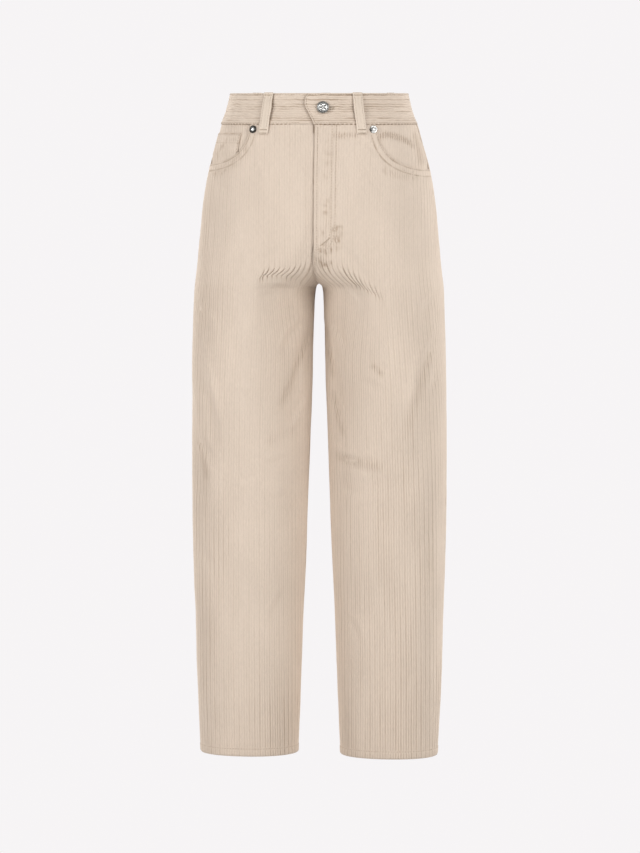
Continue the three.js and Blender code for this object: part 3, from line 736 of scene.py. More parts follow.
def cloth_material(name, colour, painted_shade_colour, pile=1.0):
    """Corduroy: a fluffy pile in wales, with painted shade, darker and warmer, down in its grooves and along
    its dark lines.
    """
    g = Graph(name)
    pattern, painted_shade_and_patina = g.attribute("pattern", "Vector"), g.attribute("painted_shade_and_patina", "Fac")
    clouds = g.noise(pattern, 0.018, (1, 0.6, 1), 3)
    tufts = g.noise(pattern, 0.42, (1, 0.34, 1), 3, 0.6)
    fibres = g.noise(pattern, 1.9, (1.4, 0.45, 1), 2, 0.65)
    base = g.blend(g.spread(clouds, 0.3, 0.7, 0, 1), (*[c * 0.965 for c in colour], 1),
                   (*[min(1, c * 1.03) for c in colour], 1))
    # painted shade: each point's number darkens the colour towards the shaded one
    depth = g.spread(painted_shade_and_patina, 0.06, 1.0, 0, 1)
    base = g.blend(depth, base, (*painted_shade_colour, 1))
    tufts_tone = g.spread(tufts, 0.25, 0.75, -0.05, 0.045)
    shade = g.maths("ADD", tufts_tone, g.spread(fibres, 0.25, 0.75, -0.06, 0.05))
    shade = g.maths("ADD", g.maths("MULTIPLY", shade, pile), 1.0)
    tint = g.node("ShaderNodeCombineColor", {0: shade, 1: shade, 2: shade})
    base = g.blend(1.0, base, tint.outputs[0], "MULTIPLY")
    g.set(Base_Color=base, Roughness=g.spread(fibres, 0.2, 0.8, 0.88, 1.0))
    g.set(Sheen_Weight=0.12, Sheen_Roughness=0.6, Sheen_Tint=(1.0, 0.95, 0.88, 1), Specular_IOR_Level=0.18)
    fine = g.bump(fibres, 0.55 * pile, 0.0005)
    g.set(Normal=g.bump(tufts, 0.5 * pile, 0.0009, fine))
    return g.material


def thread_material(name, colour):
    """Twisted sewing thread."""
    g = Graph(name)
    where = g.node("ShaderNodeTexCoord").outputs["Object"]
    twist = g.node("ShaderNodeTexWave", {"Vector": where, "Scale": 620, "Distortion": 1.0},
                   wave_type="BANDS", bands_direction="DIAGONAL")
    tone = g.noise(where, 90, detail=2)
    base = g.blend(g.spread(tone, 0.3, 0.7, 0, 1), (*[c * 0.88 for c in colour], 1), (*colour, 1))
    g.set(Base_Color=base, Roughness=g.spread(tone, 0.2, 0.8, 0.55, 0.75))
    g.set(Sheen_Weight=0.1, Specular_IOR_Level=0.3)
    g.set(Normal=g.bump(twist.outputs["Fac"], 0.4, 0.0002))
    return g.material


def metal_material(name, bright, dark):
    """Antiqued metal: polished where it stands up, dark in its hollows; on the rivets its darkness also holds
    painted shade and a painted reflection.
    """
    g = Graph(name)
    where = g.node("ShaderNodeTexCoord").outputs["Object"]
    patina_and_painted_light = g.attribute("painted_shade_and_patina", "Fac")
    stain = g.noise(where, 420, detail=4, roughness=0.65)
    factor = g.maths("ADD", patina_and_painted_light, g.spread(stain, 0.35, 0.75, -0.12, 0.22), clamp=True)
    g.set(Base_Color=g.blend(factor, (*bright, 1), (*dark, 1)), Roughness=g.spread(factor, 0, 1, 0.24, 0.5))
    g.set(Metallic=1.0)
    g.set(Normal=g.bump(g.noise(where, 1600, detail=2), 0.12, 0.0001))
    return g.material


CORDUROY = cloth_material("corduroy_cloth", (0.615, 0.515, 0.428), (0.36, 0.268, 0.195))
LOOP_CLOTH = cloth_material("loop_cloth", (0.625, 0.53, 0.44), (0.42, 0.33, 0.25), pile=0.8)
THREAD = thread_material("thread", (0.47, 0.375, 0.285))
# dark thread for the seam under the waistband, partly its own colour and partly a painted shadow of the seam
DARK_THREAD = thread_material("dark_thread", (0.24, 0.155, 0.09))
METAL = metal_material("antique_metal", (0.80, 0.80, 0.78), (0.035, 0.033, 0.03))


# ------------------------------------------------------------------ ribs and cloth pieces


def groove_at(distance, width):
    """A groove between two rounded wales, from 1 at its bottom to 0 on the crest."""
    t = np.clip(np.abs(distance) / width, 0, 1)
    return 0.5 * (1 - np.sqrt(1 - (1 - t) ** 2)) + 0.25 * (1 + np.cos(np.pi * t))


class Ribs:
    """The wales of one piece: how deep they are from place to place."""

    def __init__(self, key):
        self.key = key
        self.broad, self.fine = Noise(RIB_PERIOD, 60), Noise(RIB_PERIOD, 45)
        self.sway_by, self.clear_by = Noise(17, 70), Noise(34, 130)

    def sway(self, along, height):
        return RIB_SWAY * self.sway_by(along, height) + Body.bend(self.key, along, height)[0]

    def clear(self, share, along, height):
        """How clear the wales are: more over the hips of one side than the other, as the cloth is worn."""
        side, face = self.key
        heights, *columns = np.array(CLEAR[-side * face], float).T
        quarters = np.array([np.interp(height, heights, column) for column in columns])
        place = np.clip(share, 0, 1) * 4
        first = np.minimum(place.astype(int), 3)
        pick = np.take_along_axis(quarters, np.stack([first, first + 1]), 0)
        return mix(*pick, place - first) * (1 + 0.3 * self.clear_by(along, height))

    def depth(self, share, along, here, height):
        """Depth below the crests and the painted shade in the groove, at wales named by their grain."""
        half = RIB_PERIOD / 2
        phase = (along + half) % RIB_PERIOD - half
        broad = groove_at(phase, half / 2) * (0.92 + 0.2 * self.broad(along, height))
        fine = groove_at(half - np.abs(phase), half / 2) * (0.85 + 0.3 * self.fine(along, height))
        pulled = Body.bend(self.key, along, height)[1]
        deeper, lumps = body.crimp(self.key, here, height)
        pulled = pulled * (1 + PULLED_UNEVEN * self.broad(along, height + 30))
        near_inseam = ease(share, 0.28, 0.08) * ease(height, -255, -290)
        turned = TURNED * np.maximum(ease(share, 0.6, 0.88), near_inseam)
        much = self.clear(share, along, height) + deeper
        broad_much, fine_much = much * (1 + turned), much * (1 - turned) * (1 - PULLED_SMOOTH * pulled)
        shade = np.maximum(broad * (broad_much + PULLED_DARKER * pulled), FINE_SHADE * fine * fine_much)
        shade = PLAIN_SHADE * shade + LUMP_SHADE * np.maximum(-lumps, 0)
        depth = BROAD_GROOVE * broad * (broad_much + PULLED_DEEPER * pulled) + FINE_GROOVE * fine * fine_much
        return depth - PULLED_RAISED * pulled, np.clip(shade, 0, 1)


# A line pressed into a piece, as by stitches, or the rounding of a cut edge: how deep and wide it is,
# how much of the ribs it takes away, and how dark the painted shade along it is.
Trough = namedtuple("Trough", "path depth spread flatten shade", defaults=(0.0, 0.0))
FLATTEN_REACH = 1.5  # how far the ribs are flattened beside a trough, in its spreads


class Cloth:
    """A piece of cloth lying on one face of the body, at its own level."""

    def __init__(self, key, level=0.0, extra=None):
        self.key, self.panel, self.level, self.extra = key, body.panels[key], level, extra
        self.troughs, self.ribs = [], Ribs(key)
        self.pucker = Noise(7, 7)

    def relief(self, grain, height):
        """Standing out from the body without ribs, how much of the ribs' depth is left, and painted shade
        along troughs.
        """
        shape = np.shape(grain)
        grain, height = np.ravel(grain).astype(float), np.ravel(height).astype(float)
        out = self.level + body.relief(self.key, grain, height) + body.crimp(self.key, grain, height)[1]
        if self.extra:
            out = out + self.extra(grain, height)
        ribbed, dark = np.ones(len(grain)), np.zeros(len(grain))
        for trough in self.troughs:
            i, distance, _ = near_path(trough.path, grain, height, 3.5 * trough.spread)
            near = np.exp(-(distance / trough.spread) ** 2)
            pucker = self.pucker(grain[i], height[i])
            out[i] -= trough.depth * near * (1 + 0.4 * pucker)
            dark[i] = np.maximum(dark[i], trough.shade * near * (1 + 0.9 * pucker))
            ribbed[i] *= 1 - trough.flatten * np.exp(-(distance / (FLATTEN_REACH * trough.spread)) ** 2)
        return out.reshape(shape), ribbed.reshape(shape), dark.reshape(shape)

    def spots(self, path, out=0.0):
        """Points on the cloth along a path, and the directions that face out of it there."""
        grain, height = np.asarray(path, float).T
        rise = self.relief(grain, height)[0]
        here = self.panel.on_cloth(grain, height, rise + out)
        return here, self.panel.on_cloth(grain, height, rise + out + 1) - here


def rib_columns(low, high):
    first, last = int(np.floor(low / RIB_PERIOD)) - 1, int(np.ceil(high / RIB_PERIOD)) + 1
    return np.concatenate([i * RIB_PERIOD + np.array(RIB_OFFSETS) for i in range(first, last + 1)])


def merged(values, more, least=0.2):
    """Two rising lists as one, leaving out what is nearly there already."""
    values = np.asarray(values)
    extra = [m for m in more if np.abs(values - m).min() > least]
    return np.sort(np.concatenate([values, extra]))


def finish_cloth(shape, name, material=CORDUROY):
    piece = shape.build("cloth_" + name, material)
    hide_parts(name)


AT_EDGE = 0.04  # what is nearer than this to a piece's edge is on it
EDGE_ROUND, EDGE_RADIUS = 0.7, 0.9  # how far a cut edge is rounded down, and over what width
CLOSED_START, CLOSED_FULL = -200, -212
CLOSED_WIDTH = 20  # beside the closed seam over the crotch, where the edges are rounded less
CLOSED_ROUND = 0.75
SEAM_LEFT = 0.01  # between the inner edges of the two halves
FORK_WEB = 0.6  # how far under the crotch the halves still meet


class Outline:
    """Where a piece of cloth is: between two arcs at each height, and between a top and a bottom."""

    def __init__(self, cloth, height_of, low=None, high=None):
        self.cloth, self.height_of = cloth, height_of
        self.at_centre = low is None
        self.low = low or (lambda height: np.zeros_like(height))
        self.high = high or cloth.panel.length_at

    def grid(self, shape, columns, rows, inner=None):
        """A face of the piece. inner gives the depth of its inner side, which has no ribs."""
        cloth = self.cloth
        grain, row = np.meshgrid(columns, rows)
        height = self.height_of(row, grain)
        start = cloth.panel.grain_start(height)
        sway = cloth.ribs.sway(grain, height) if inner is None else 0
        low, high = self.low(height), self.high(height)
        arc = np.clip(grain + sway + start, low, high)
        before, after = arc <= low + AT_EDGE, arc >= high - AT_EDGE
        first = np.maximum(before.sum(axis=1) - 1, 0)
        last = np.minimum(arc.shape[1] - after.sum(axis=1), arc.shape[1] - 1)
        here = arc - start
        out, ribbed, dark = cloth.relief(here, height)
        painted_shade_and_patina = np.zeros_like(arc)
        if inner is None:
            share = arc / cloth.panel.length_at(height)
            depth, painted_shade_and_patina = cloth.ribs.depth(share, grain, here, height)
            edge = np.minimum(arc - low, high - arc)
            closed = ease(height, CLOSED_START, CLOSED_FULL) * ease(height, CROTCH - 11, CROTCH - 1)
            closed = closed * (arc < CLOSED_WIDTH)
            rounding = np.exp(-(edge / EDGE_RADIUS) ** 2) * (1 - CLOSED_ROUND * closed)
            out = out - depth * ribbed - EDGE_ROUND * rounding
            # painted shade in the grooves and along troughs, and more where a cut edge rounds down
            painted_shade_and_patina = np.clip(np.maximum(painted_shade_and_patina * ribbed, dark) + 0.25 * rounding, 0, 1)
        else:
            out = out - inner(height)
        points = cloth.panel.place(arc, height, out)
        if self.at_centre:
            # both halves end at their cut however their edges are rounded; inside, and at the fork, they meet
            side, face = cloth.key
            fork = (height <= CROTCH) & (height > CROTCH - FORK_WEB)
            meet = fork if inner is None else height > CROTCH
            cut = centre_cut(side, face, height) - np.where(meet, GAP / 2 - SEAM_LEFT, 0)
            edge = before & (meet | (height > CROTCH))
            points[..., 0] = np.where(edge, side * np.minimum(side * points[..., 0], cut), points[..., 0])
        along = np.clip(grain, here - sway - 2, here - sway + 2)
        pattern = np.stack([along, height, np.zeros_like(height)], axis=-1)
        made = shape.add_points(points, pattern, painted_shade_and_patina).reshape(arc.shape)
        for i in range(len(rows)):
            made[i, :first[i]] = made[i, first[i]]
            made[i, last[i] + 1:] = made[i, last[i]]
        return made, here, height, first, last

    def shell(self, name, columns, rows, wall, coarse_columns, coarse_rows):
        """The whole piece, as a thin closed shell with a plain inner side."""
        shape = Shape()
        outside = self.grid(shape, columns, rows)
        inside = self.grid(shape, coarse_columns, coarse_rows, inner=wall)
        shape.add_grid(outside[0])
        shape.add_grid(inside[0], flip=True)
        rims = []
        for index, grain, height, first, last in (outside, inside):
            every = np.arange(len(index))
            rims.append((
                (index[every, first], -height[every, first]),
                (index[every, last], -height[every, last]),
                (index[0, first[0]:last[0] + 1], grain[0, first[0]:last[0] + 1]),
                (index[-1, first[-1]:last[-1] + 1], grain[-1, first[-1]:last[-1] + 1])))
        for (a, b), flip in zip(zip(*rims), (False, True, True, False)):
            shape.add_strip(*a, *b, flip=flip)
        finish_cloth(shape, name)


# ------------------------------------------------------------------ leg panels

SQUEEZE_END = -125.0  # above this height the rows are squeezed under the panel's own top edge
TOP_ROWS = [PANEL_TOP, PANEL_TOP - 0.5, PANEL_TOP - 1.3, PANEL_TOP - 2.6]
FORK_ROWS = [-251, -252.8, -254.2, -255.2, -256, -256.5, -256.85, -257.05, -257.5, -258.3,
             -259.6, -261.5, -264, -266.5]
HEM_ROWS = HEM_TOP + np.array([4, 2, 1, 0, -1, -2.5, -5, -7.5, -9.5, -10.8, -11.6, -12])
PANEL_ROWS = np.concatenate([
    TOP_ROWS, np.linspace(PANEL_TOP - 5, SQUEEZE_END, 34), np.arange(SQUEEZE_END - 3, -221, -3),
    np.arange(-222, -250, -2), FORK_ROWS, np.arange(-269, -278, -2), np.arange(-280, -332, -3),
    np.arange(-334, HEM_TOP + 6, -4.5), HEM_ROWS])
INNER_FORK_ROWS = [-246, -250, -253, -255.5, -256.85, -257.5, -261, -268]
INNER_ROWS = np.concatenate([
    [PANEL_TOP, -36, -52], np.arange(-70, SQUEEZE_END, -16), [SQUEEZE_END], np.arange(-140, -240, -14),
    INNER_FORK_ROWS, np.arange(-284, HEM_TOP + 8, -15), [HEM_TOP + 1, HEM_TOP - 1, HEM]])
INNER_STEP = 9.0
SMALL_STEP = 7.0


def squeezed(row, top):
    within = SQUEEZE_END + (row - SQUEEZE_END) * (top - SQUEEZE_END) / (PANEL_TOP - SQUEEZE_END)
    return np.where(row <= SQUEEZE_END, row, within)


def share_at_x(panel, x, height):
    arc = panel.grain_of_x(panel.side * x, height)[0] + panel.grain_start(height)
    return arc / panel.length_at(height)


def scoop_curve(side):
    """The front pocket's opening, from the waistband to the side seam, as grain and height."""
    panel = body.panels[side, -1]
    start = share_at_x(panel, SCOOP_START, PANEL_TOP)
    out = np.concatenate([1 - np.linspace(0, 0.3, 40) ** 2.6 / 0.3 ** 1.6, np.linspace(0.69, 0, 50)])
    height = PANEL_TOP - SCOOP_DEPTH[side] * (1 - out ** SCOOP_POWER) ** (1 / SCOOP_POWER)
    arc = (1 - (1 - start) * out) * panel.length_at(height)
    grain = np.maximum.accumulate(arc - panel.grain_start(height) + np.arange(len(out)) * 1e-4)
    return np.stack([grain, height], axis=1)


def yoke_curve(side):
    """The yoke seam from the centre back to the side seam."""
    panel = body.panels[side, 1]
    share = np.linspace(0, 1, 60)
    height = mix(YOKE_AT_CENTRE, YOKE_AT_SIDE, share)
    return np.stack([share * panel.length_at(height) - panel.grain_start(height), height], axis=1)


def seam_path(panel, share, heights, inwards=0.0):
    """A path beside a panel's centre edge or its side seam, at a distance from it."""
    heights = np.asarray(heights, float)
    arc = share * panel.length_at(heights) + (inwards if share == 0 else -inwards)
    return np.stack([arc - panel.grain_start(heights), heights], axis=1)


def fly_dip(panel):
    """The right front dips in to pass under the left one at the fly."""
    def extra(grain, height):
        share = (grain + panel.grain_start(height)) / panel.length_at(height)
        low = FLY_LAP_END - 3 * FLY_FADE
        dip = (WALL + GAP + DIP_CLEARANCE) * (1 - ease(share, DIP_FULL, DIP_END))
        return -dip * ease(height, low, low + 1.5 * FLY_FADE)
    return extra


def fly_lift(panel):
    """The lapped edge of the left front stands off a little, most at its top."""
    def extra(grain, height):
        arc = grain + panel.grain_start(height)
        top = ease(height, -48, -26) * ease(arc, 14, 1)
        edge = ease(height, FLY_LAP_END - FLY_FADE, FLY_LAP_END) * ease(arc, 8, 0)
        return 1.5 * top + 0.45 * edge
    return extra


def hem_swell(height):
    """The turned hem is thicker, and rounds off at its lower edge."""
    turned = ease(height, HEM_TOP + 1.5, HEM_TOP - 1.5)
    return 0.55 * turned - 0.9 * np.exp(-((height - HEM) / 1.1) ** 2)


def seam_swell(panel):
    """The cloth is a little proud over the seam allowances, and draws in at the seams."""
    def extra(grain, height):
        arc = grain + panel.grain_start(height)
        from_side = panel.length_at(height) - arc
        swell = 0.45 * ease(from_side, 13, 10)
        swell += 0.35 * ease(arc, 13, 10) * ease(height, CROTCH - 20, CROTCH - 60)
        return swell
    return extra


def leg_extra(panel):
    parts = [seam_swell(panel)]
    if (panel.side, panel.face) == (-1, -1):
        parts.append(fly_dip(panel))
    if (panel.side, panel.face) == (1, -1):
        parts.append(fly_lift(panel))

    def extra(grain, height):
        return sum(part(grain, height) for part in parts) + hem_swell(height)
    return extra


J_STITCH = ((29.5, -24), (29.6, -70), (29.5, -120), (29.3, -160), (28.0, -180), (23.5, -193), (16.5, -200.6),
            (9.5, -203.5), (4.8, -204.2))
# rows of stitches press the cloth in, with painted shade along them
STITCH_PRESS = dict(depth=0.5, spread=1.1, flatten=0.6, shade=0.2)

SEAT_ROWS, PATCH_ROWS = (2.2, 8.4), (2.0, 8.4)  # how far in from an edge the two rows of stitches are
POCKET_ROWS = (2.2, 10.5)
FLY_TACK = (14.0, -198), (28.5, -186.5)

stitches = []


def stitch(group, cloth, path, **press):
    """A row of stitches along a path on a cloth, which presses it in."""
    cloth.troughs.append(Trough(path, **{**STITCH_PRESS, **press}))
    stitches.append((group, cloth, path))


def stitch_centre(group, cloth, heights, rows):
    """Rows of stitches beside a panel's centre edge."""
    for inwards in rows:
        stitch(group, cloth, seam_path(cloth.panel, 0, heights, inwards))


cloths = {key: Cloth(key, extra=leg_extra(body.panels[key])) for key in KEYS}
for side, name in SIDE_NAMES.items():
    front, back = cloths[side, -1], cloths[side, 1]
    scoop, yoke = scoop_curve(side), yoke_curve(side)
    for cloth in (front, back):
        ends = np.array([1.0, cloth.panel.length_at(HEM_TOP) - 1.0]) - cloth.panel.grain_start(HEM_TOP)
        stitch(f"stitches_hem_{name}", cloth, np.stack([ends, [HEM_TOP - 0.6] * 2], axis=1))
    # painted shade along the pocket's rows of stitches, and along its edge below
    for inwards in POCKET_ROWS:
        stitch(f"stitches_pocket_{name}", front, offset_path(scoop, -inwards)[6:-1], shade=0.55)
    front.troughs.append(Trough(scoop, 0.75, 1.0, 0.3, 0.3))
    for inwards in PATCH_ROWS:
        stitch(f"stitches_seat_{name}", back, yoke[1:-1] - (0, GAP + inwards))
    back.troughs.append(Trough(yoke - (0, GAP), 0.7, 1.0, 0.3))

# a painted shadow of the fly's edge, on the front under it
under_fly = cloths[-1, -1]
for depth, spread, shade, places in ((0.5, 1.5, 1.0, ((3.0, -23), (3.3, -33))),
                                     (0.1, 0.7, 0.2, ((3.4, -33), (3.4, -78))),
                                     (0.2, 0.8, 0.5, ((3.4, -76), (3.4, -208)))):
    under_fly.troughs.append(Trough(under_fly.panel.x_path(places), depth, spread, 0.2, shade))

lapped = cloths[1, -1]
fly_curve = lapped.panel.x_path(J_STITCH)
for path in (fly_curve, offset_path(fly_curve, 6.2)):
    stitch("stitches_fly", lapped, path)
stitch_centre("stitches_fly", lapped, np.arange(-26, -238, -6), [4.6])
for side, start in ((-1, -208), (1, -206)):
    stitch_centre("stitches_fly", cloths[side, -1], np.arange(start, -252, -4), [2.2])
stitch_centre("stitches_seat_left", cloths[1, 1], np.arange(YOKE_AT_CENTRE - 3, -246, -5), SEAT_ROWS)


def panel_wall(height):
    return np.where(height < HEM_TOP, 2 * WALL, WALL)


for (side, face), cloth in cloths.items():
    top_edge = scoop_curve(side) if face < 0 else yoke_curve(side) - (0, GAP)
    columns = rib_columns(-246, 215)
    if face < 0:  # more of them where the scoop starts steeply
        columns = merged(columns, [top_edge[0, 0] - 0.3, *top_edge[:40:3, 0]], 0.12)
    Outline(cloth, lambda row, grain: squeezed(row, np.interp(grain, *top_edge.T))).shell(
        f"{FACE_NAMES[face]}_{SIDE_NAMES[side]}", columns, PANEL_ROWS, panel_wall,
        np.arange(-216, 217, INNER_STEP), INNER_ROWS)


# ------------------------------------------------------------------ yokes, facings and pockets


def small_piece(name, cloth, height_of, rows, columns, inner_rows, low=None, high=None, wall=THIN_WALL):
    """A piece whose rows are shares down from its top edge, with evenly spaced ones inside."""
    inner = np.arange(columns[0] - 1, columns[-1] + SMALL_STEP, SMALL_STEP)
    Outline(cloth, height_of, low, high).shell(
        name, columns, rows, lambda height: np.full_like(height, wall), inner, np.linspace(0, 1, inner_rows))


def edge_rows(count, rounded=4):
    """Shares down a piece, closer together at its two ends."""
    ends = np.array([0, 0.006, 0.015, 0.03])[:rounded]
    return np.concatenate([ends, np.linspace(0.045, 0.955, count), 1 - ends[::-1]])


def yoke_piece(side):
    curve = yoke_curve(side)
    yoke = Cloth((side, 1), extra=seam_swell(body.panels[side, 1]))
    yoke.troughs.append(Trough(curve, 0.6, 0.9, 0.3))
    if side > 0:
        stitch_centre("stitches_seat_left", yoke, np.arange(PANEL_TOP - 2, YOKE_AT_CENTRE + 2, -4), SEAT_ROWS)
    small_piece(f"yoke_{SIDE_NAMES[side]}", yoke,
                lambda row, grain: mix(PANEL_TOP, np.interp(grain, *curve.T), row),
                edge_rows(18), rib_columns(-110, 120), 5, wall=WALL)


def coin_pocket(facing, scoop, lift):
    """A small patch on the right facing, between the scoop, the side seam and its own two edges."""
    coin = Cloth(facing.key, level=-COIN_LEVEL, extra=lift)
    panel = coin.panel
    start = 1 - (1 - share_at_x(panel, SCOOP_START, PANEL_TOP)) * COIN_SHARE

    def low(height):
        return start * panel.length_at(height)

    down = np.arange(COIN_TOP - 1, -92, -3)
    edge = np.stack([low(down) - panel.grain_start(down), down], axis=1)

    def across(inwards, drop, end=130.0):
        return np.array([(edge[0, 0] + inwards, COIN_TOP - drop), (end, COIN_TOP - drop)])

    # painted shadows along the coin pocket's top and side edges, on it and on the facing
    coin.troughs.append(Trough(across(-5, 0), 0.5, 0.9, 0.2, 0.7))
    facing.troughs.append(Trough(edge - (0.8, 0), 0.3, 0.8, 0.2, 0.8))
    facing.troughs.append(Trough(across(-1, -0.8), 0.3, 0.9, 0.2, 0.7))
    for drop in (2.2, 14.0):
        stitch("stitches_pocket_right", coin, across(1.5, drop, 120.0))
    stitch("stitches_pocket_right", coin, edge[:-6] + (2.0, 0))

    def height_of(row, grain):
        top = np.minimum(np.interp(grain, *scoop.T), COIN_TOP - 4)
        return mix(COIN_TOP, squeezed(COIN_BOTTOM, top), row)

    small_piece("coin_pocket", coin, height_of, edge_rows(24, 3), rib_columns(0, 120), 6, low=low)


def facing_piece(side):
    """The facing shows in the pocket's opening, and runs on under the front."""
    scoop = scoop_curve(side)

    def lift(grain, height):
        """In the opening the facing comes up nearly level with the front."""
        opened = height - np.interp(grain, *scoop.T, left=0)
        return (FACING_LEVEL[side] - FACING_OPEN) * ease(opened, 1.5, 16) * ease(grain, 2, 18)

    facing = Cloth((side, -1), level=-FACING_LEVEL[side], extra=lift)
    if side < 0:
        coin_pocket(facing, scoop, lift)
    small_piece(f"pocket_facing_{SIDE_NAMES[side]}", facing,
                lambda row, grain: mix(PANEL_TOP, squeezed(FACING_BOTTOM, np.interp(grain, *scoop.T)), row),
                edge_rows(26, 2), rib_columns(-20, 120), 8,
                low=lambda height: facing.panel.grain_start(height) - FACING_UNDER)


def back_pocket(side):
    """A pointed patch."""
    pocket = Cloth((side, 1), level=GAP + THIN_WALL)
    panel = pocket.panel
    known = np.linspace(PATCH_TOP + 4, PATCH_TOP - PATCH_POINT - 4, 60)
    halves = mix(PATCH_TOP_HALF, PATCH_BOTTOM_HALF, np.clip((PATCH_TOP - known) / PATCH_SIDE, 0, 1))
    arcs = {}
    for where in (-1, 1):
        xs = side * (PATCH_CENTRE + where * halves)
        arcs[where] = panel.grain_of_x(xs, known) + panel.grain_start(known)

    def edge(height, where):
        return np.interp(-height, -known, arcs[where])

    grains = np.linspace(-70, 75, 80)
    from_centre = np.abs(np.abs(side * panel.on_cloth(grains, np.full(80, PATCH_TOP - PATCH_SIDE))[:, 0])
                         - PATCH_CENTRE)
    lows = PATCH_TOP - PATCH_POINT + (PATCH_POINT - PATCH_SIDE) * from_centre / PATCH_BOTTOM_HALF

    def bottom(grain):
        return np.interp(grain, grains, lows)

    def rows_beside(where, inwards, heights):
        return edge(heights, where) - where * inwards - panel.grain_start(heights)

    group = f"stitches_back_pocket_{SIDE_NAMES[side]}"
    heights = np.linspace(PATCH_TOP - 1, PATCH_TOP - PATCH_SIDE, 24)
    for inwards in PATCH_ROWS:
        first, last = (np.stack([rows_beside(where, inwards, heights), heights], axis=1) for where in (-1, 1))
        middle = np.linspace(first[-1, 0], last[-1, 0], 21)
        base = np.stack([middle, bottom(middle) + inwards], axis=1)
        first, last = first[first[:, 1] > base[0, 1] + 2], last[last[:, 1] > base[-1, 1] + 2]
        stitch(group, pocket, np.vstack([first, base, last[::-1]]))
    for drop in (3.0, 15.0):
        heights = np.full(20, PATCH_TOP - drop)
        ends = [rows_beside(where, 3, heights[:1])[0] for where in (-1, 1)]
        stitch(group, pocket, np.stack([np.linspace(*ends, 20), heights], axis=1))
    small_piece(f"back_pocket_{SIDE_NAMES[side]}", pocket,
                lambda row, grain: mix(PATCH_TOP, bottom(grain), row),
                edge_rows(42, 3), rib_columns(-80, 85), 14,
                low=lambda height: edge(height, -1), high=lambda height: edge(height, 1))


for side in SIDE_NAMES:
    yoke_piece(side)
    facing_piece(side)
    back_pocket(side)


# ------------------------------------------------------------------ waistband

# the shaped end of the waistband: height, and how far it is from the centre front
BAND_END = smooth_path([
    (-22.5, 2.6), (-17.5, 0.5), (-10, -3), (-2.8, -6.8), (3, -10), (9, -11.3), (16, -10.2), (22.5, -5)], 2.0)
BAND_GROOVE = 1.05
BAND_GROOVE_WIDTH = 1.4
# painted shade in the waistband's grooves
BAND_SHADE = 0.75
BAND_HALF_STEP = (BAND_WALL + GAP) / 2
BAND_STEP = 2.6
END_LIFT = 0.9  # of the lapped end
LIFT_START, LIFT_END = 3.7, 3.86
END_TURNED = 0.006  # of a quarter, where both ends are turned in
# the curled wales: the height of each groove and how strong it is
BAND_GROOVES = (
    (19.6, 0.95), (16.3, 0.4), (12.9, 0.9), (9.6, 0.5), (6.2, 0.85), (2.7, 0.9), (-0.7, 0.7), (-4.2, 0.9),
    (-7.5, 0.45), (-10.6, 0.55), (-13.8, 1.0), (-17.1, 1.0), (-19.9, 0.4))
FRONT_LOOP, BACK_LOOP = 0.375, 0.6  # share of a quarter from the centre front and from the centre back
LOOP_PLACES = (FRONT_LOOP, 4 - FRONT_LOOP, 2 - BACK_LOOP, 2 + BACK_LOOP, 2.0)
QUARTERS = ((-1, -1), (-1, 1), (1, 1), (1, -1))  # side and face, in the order of the turn


def on_ring(turn, height, out):
    """A place round the waist: 0 at the centre front, 1 at the right side, 2 at the back, 4 at the front."""
    turn, height, out = np.broadcast_arrays(turn, height, out)
    quarter = np.clip(np.floor(turn).astype(int), 0, 3)
    share = np.choose(quarter, [turn, 2 - turn, turn - 2, 4 - turn])
    points = np.zeros((*turn.shape, 3))
    for place, key in enumerate(QUARTERS):
        mine = (quarter == place) & (share >= 0)
        if key[1] < 0:  # what is past the centre front lies on the other front quarter
            mine |= (quarter == 3 - place) & (share < 0)
        panel = body.plain[key]
        arc = np.abs(share[mine]) * panel.length_at(height[mine])
        points[mine] = panel.place(arc, height[mine], out[mine])
    return points


def ring_spots(turn, height, out):
    """Points round the waist, and the directions that face out of it there."""
    points = on_ring(turn, height, out)
    return points, on_ring(turn, height, out + 1) - points


BAND_QUARTER = float(body.plain[1, -1].length_at(np.array([0.0]))[0])
band_swell = Noise(0.16, 30), Noise(0.05, 14), Noise(0.022, 6)
band_broad, band_fine = Noise(0.13, 6), Noise(0.035, 6)


def band_relief(turn, height):
    """How far the waistband stands out of the plain form."""
    broad, middle, fine = band_swell
    out = BAND_PROUD + 0.45 * broad(turn, height) + 0.2 * middle(turn, height)
    out = out + 0.1 * fine(turn, height)
    sink = BAND_HALF_STEP * (1 - ease(turn, 0.07, 0.3)) - BAND_HALF_STEP * ease(turn, LIFT_START, LIFT_END)
    for place in LOOP_PLACES:  # drawn in a little under each belt loop
        near = np.exp(-((turn - place) * BAND_QUARTER / 9) ** 2)
        out = out - 0.35 * near * ease(np.abs(height), 8, 20)
    out = out + END_LIFT * ease(turn, 3.9, 4.02)
    return out - sink


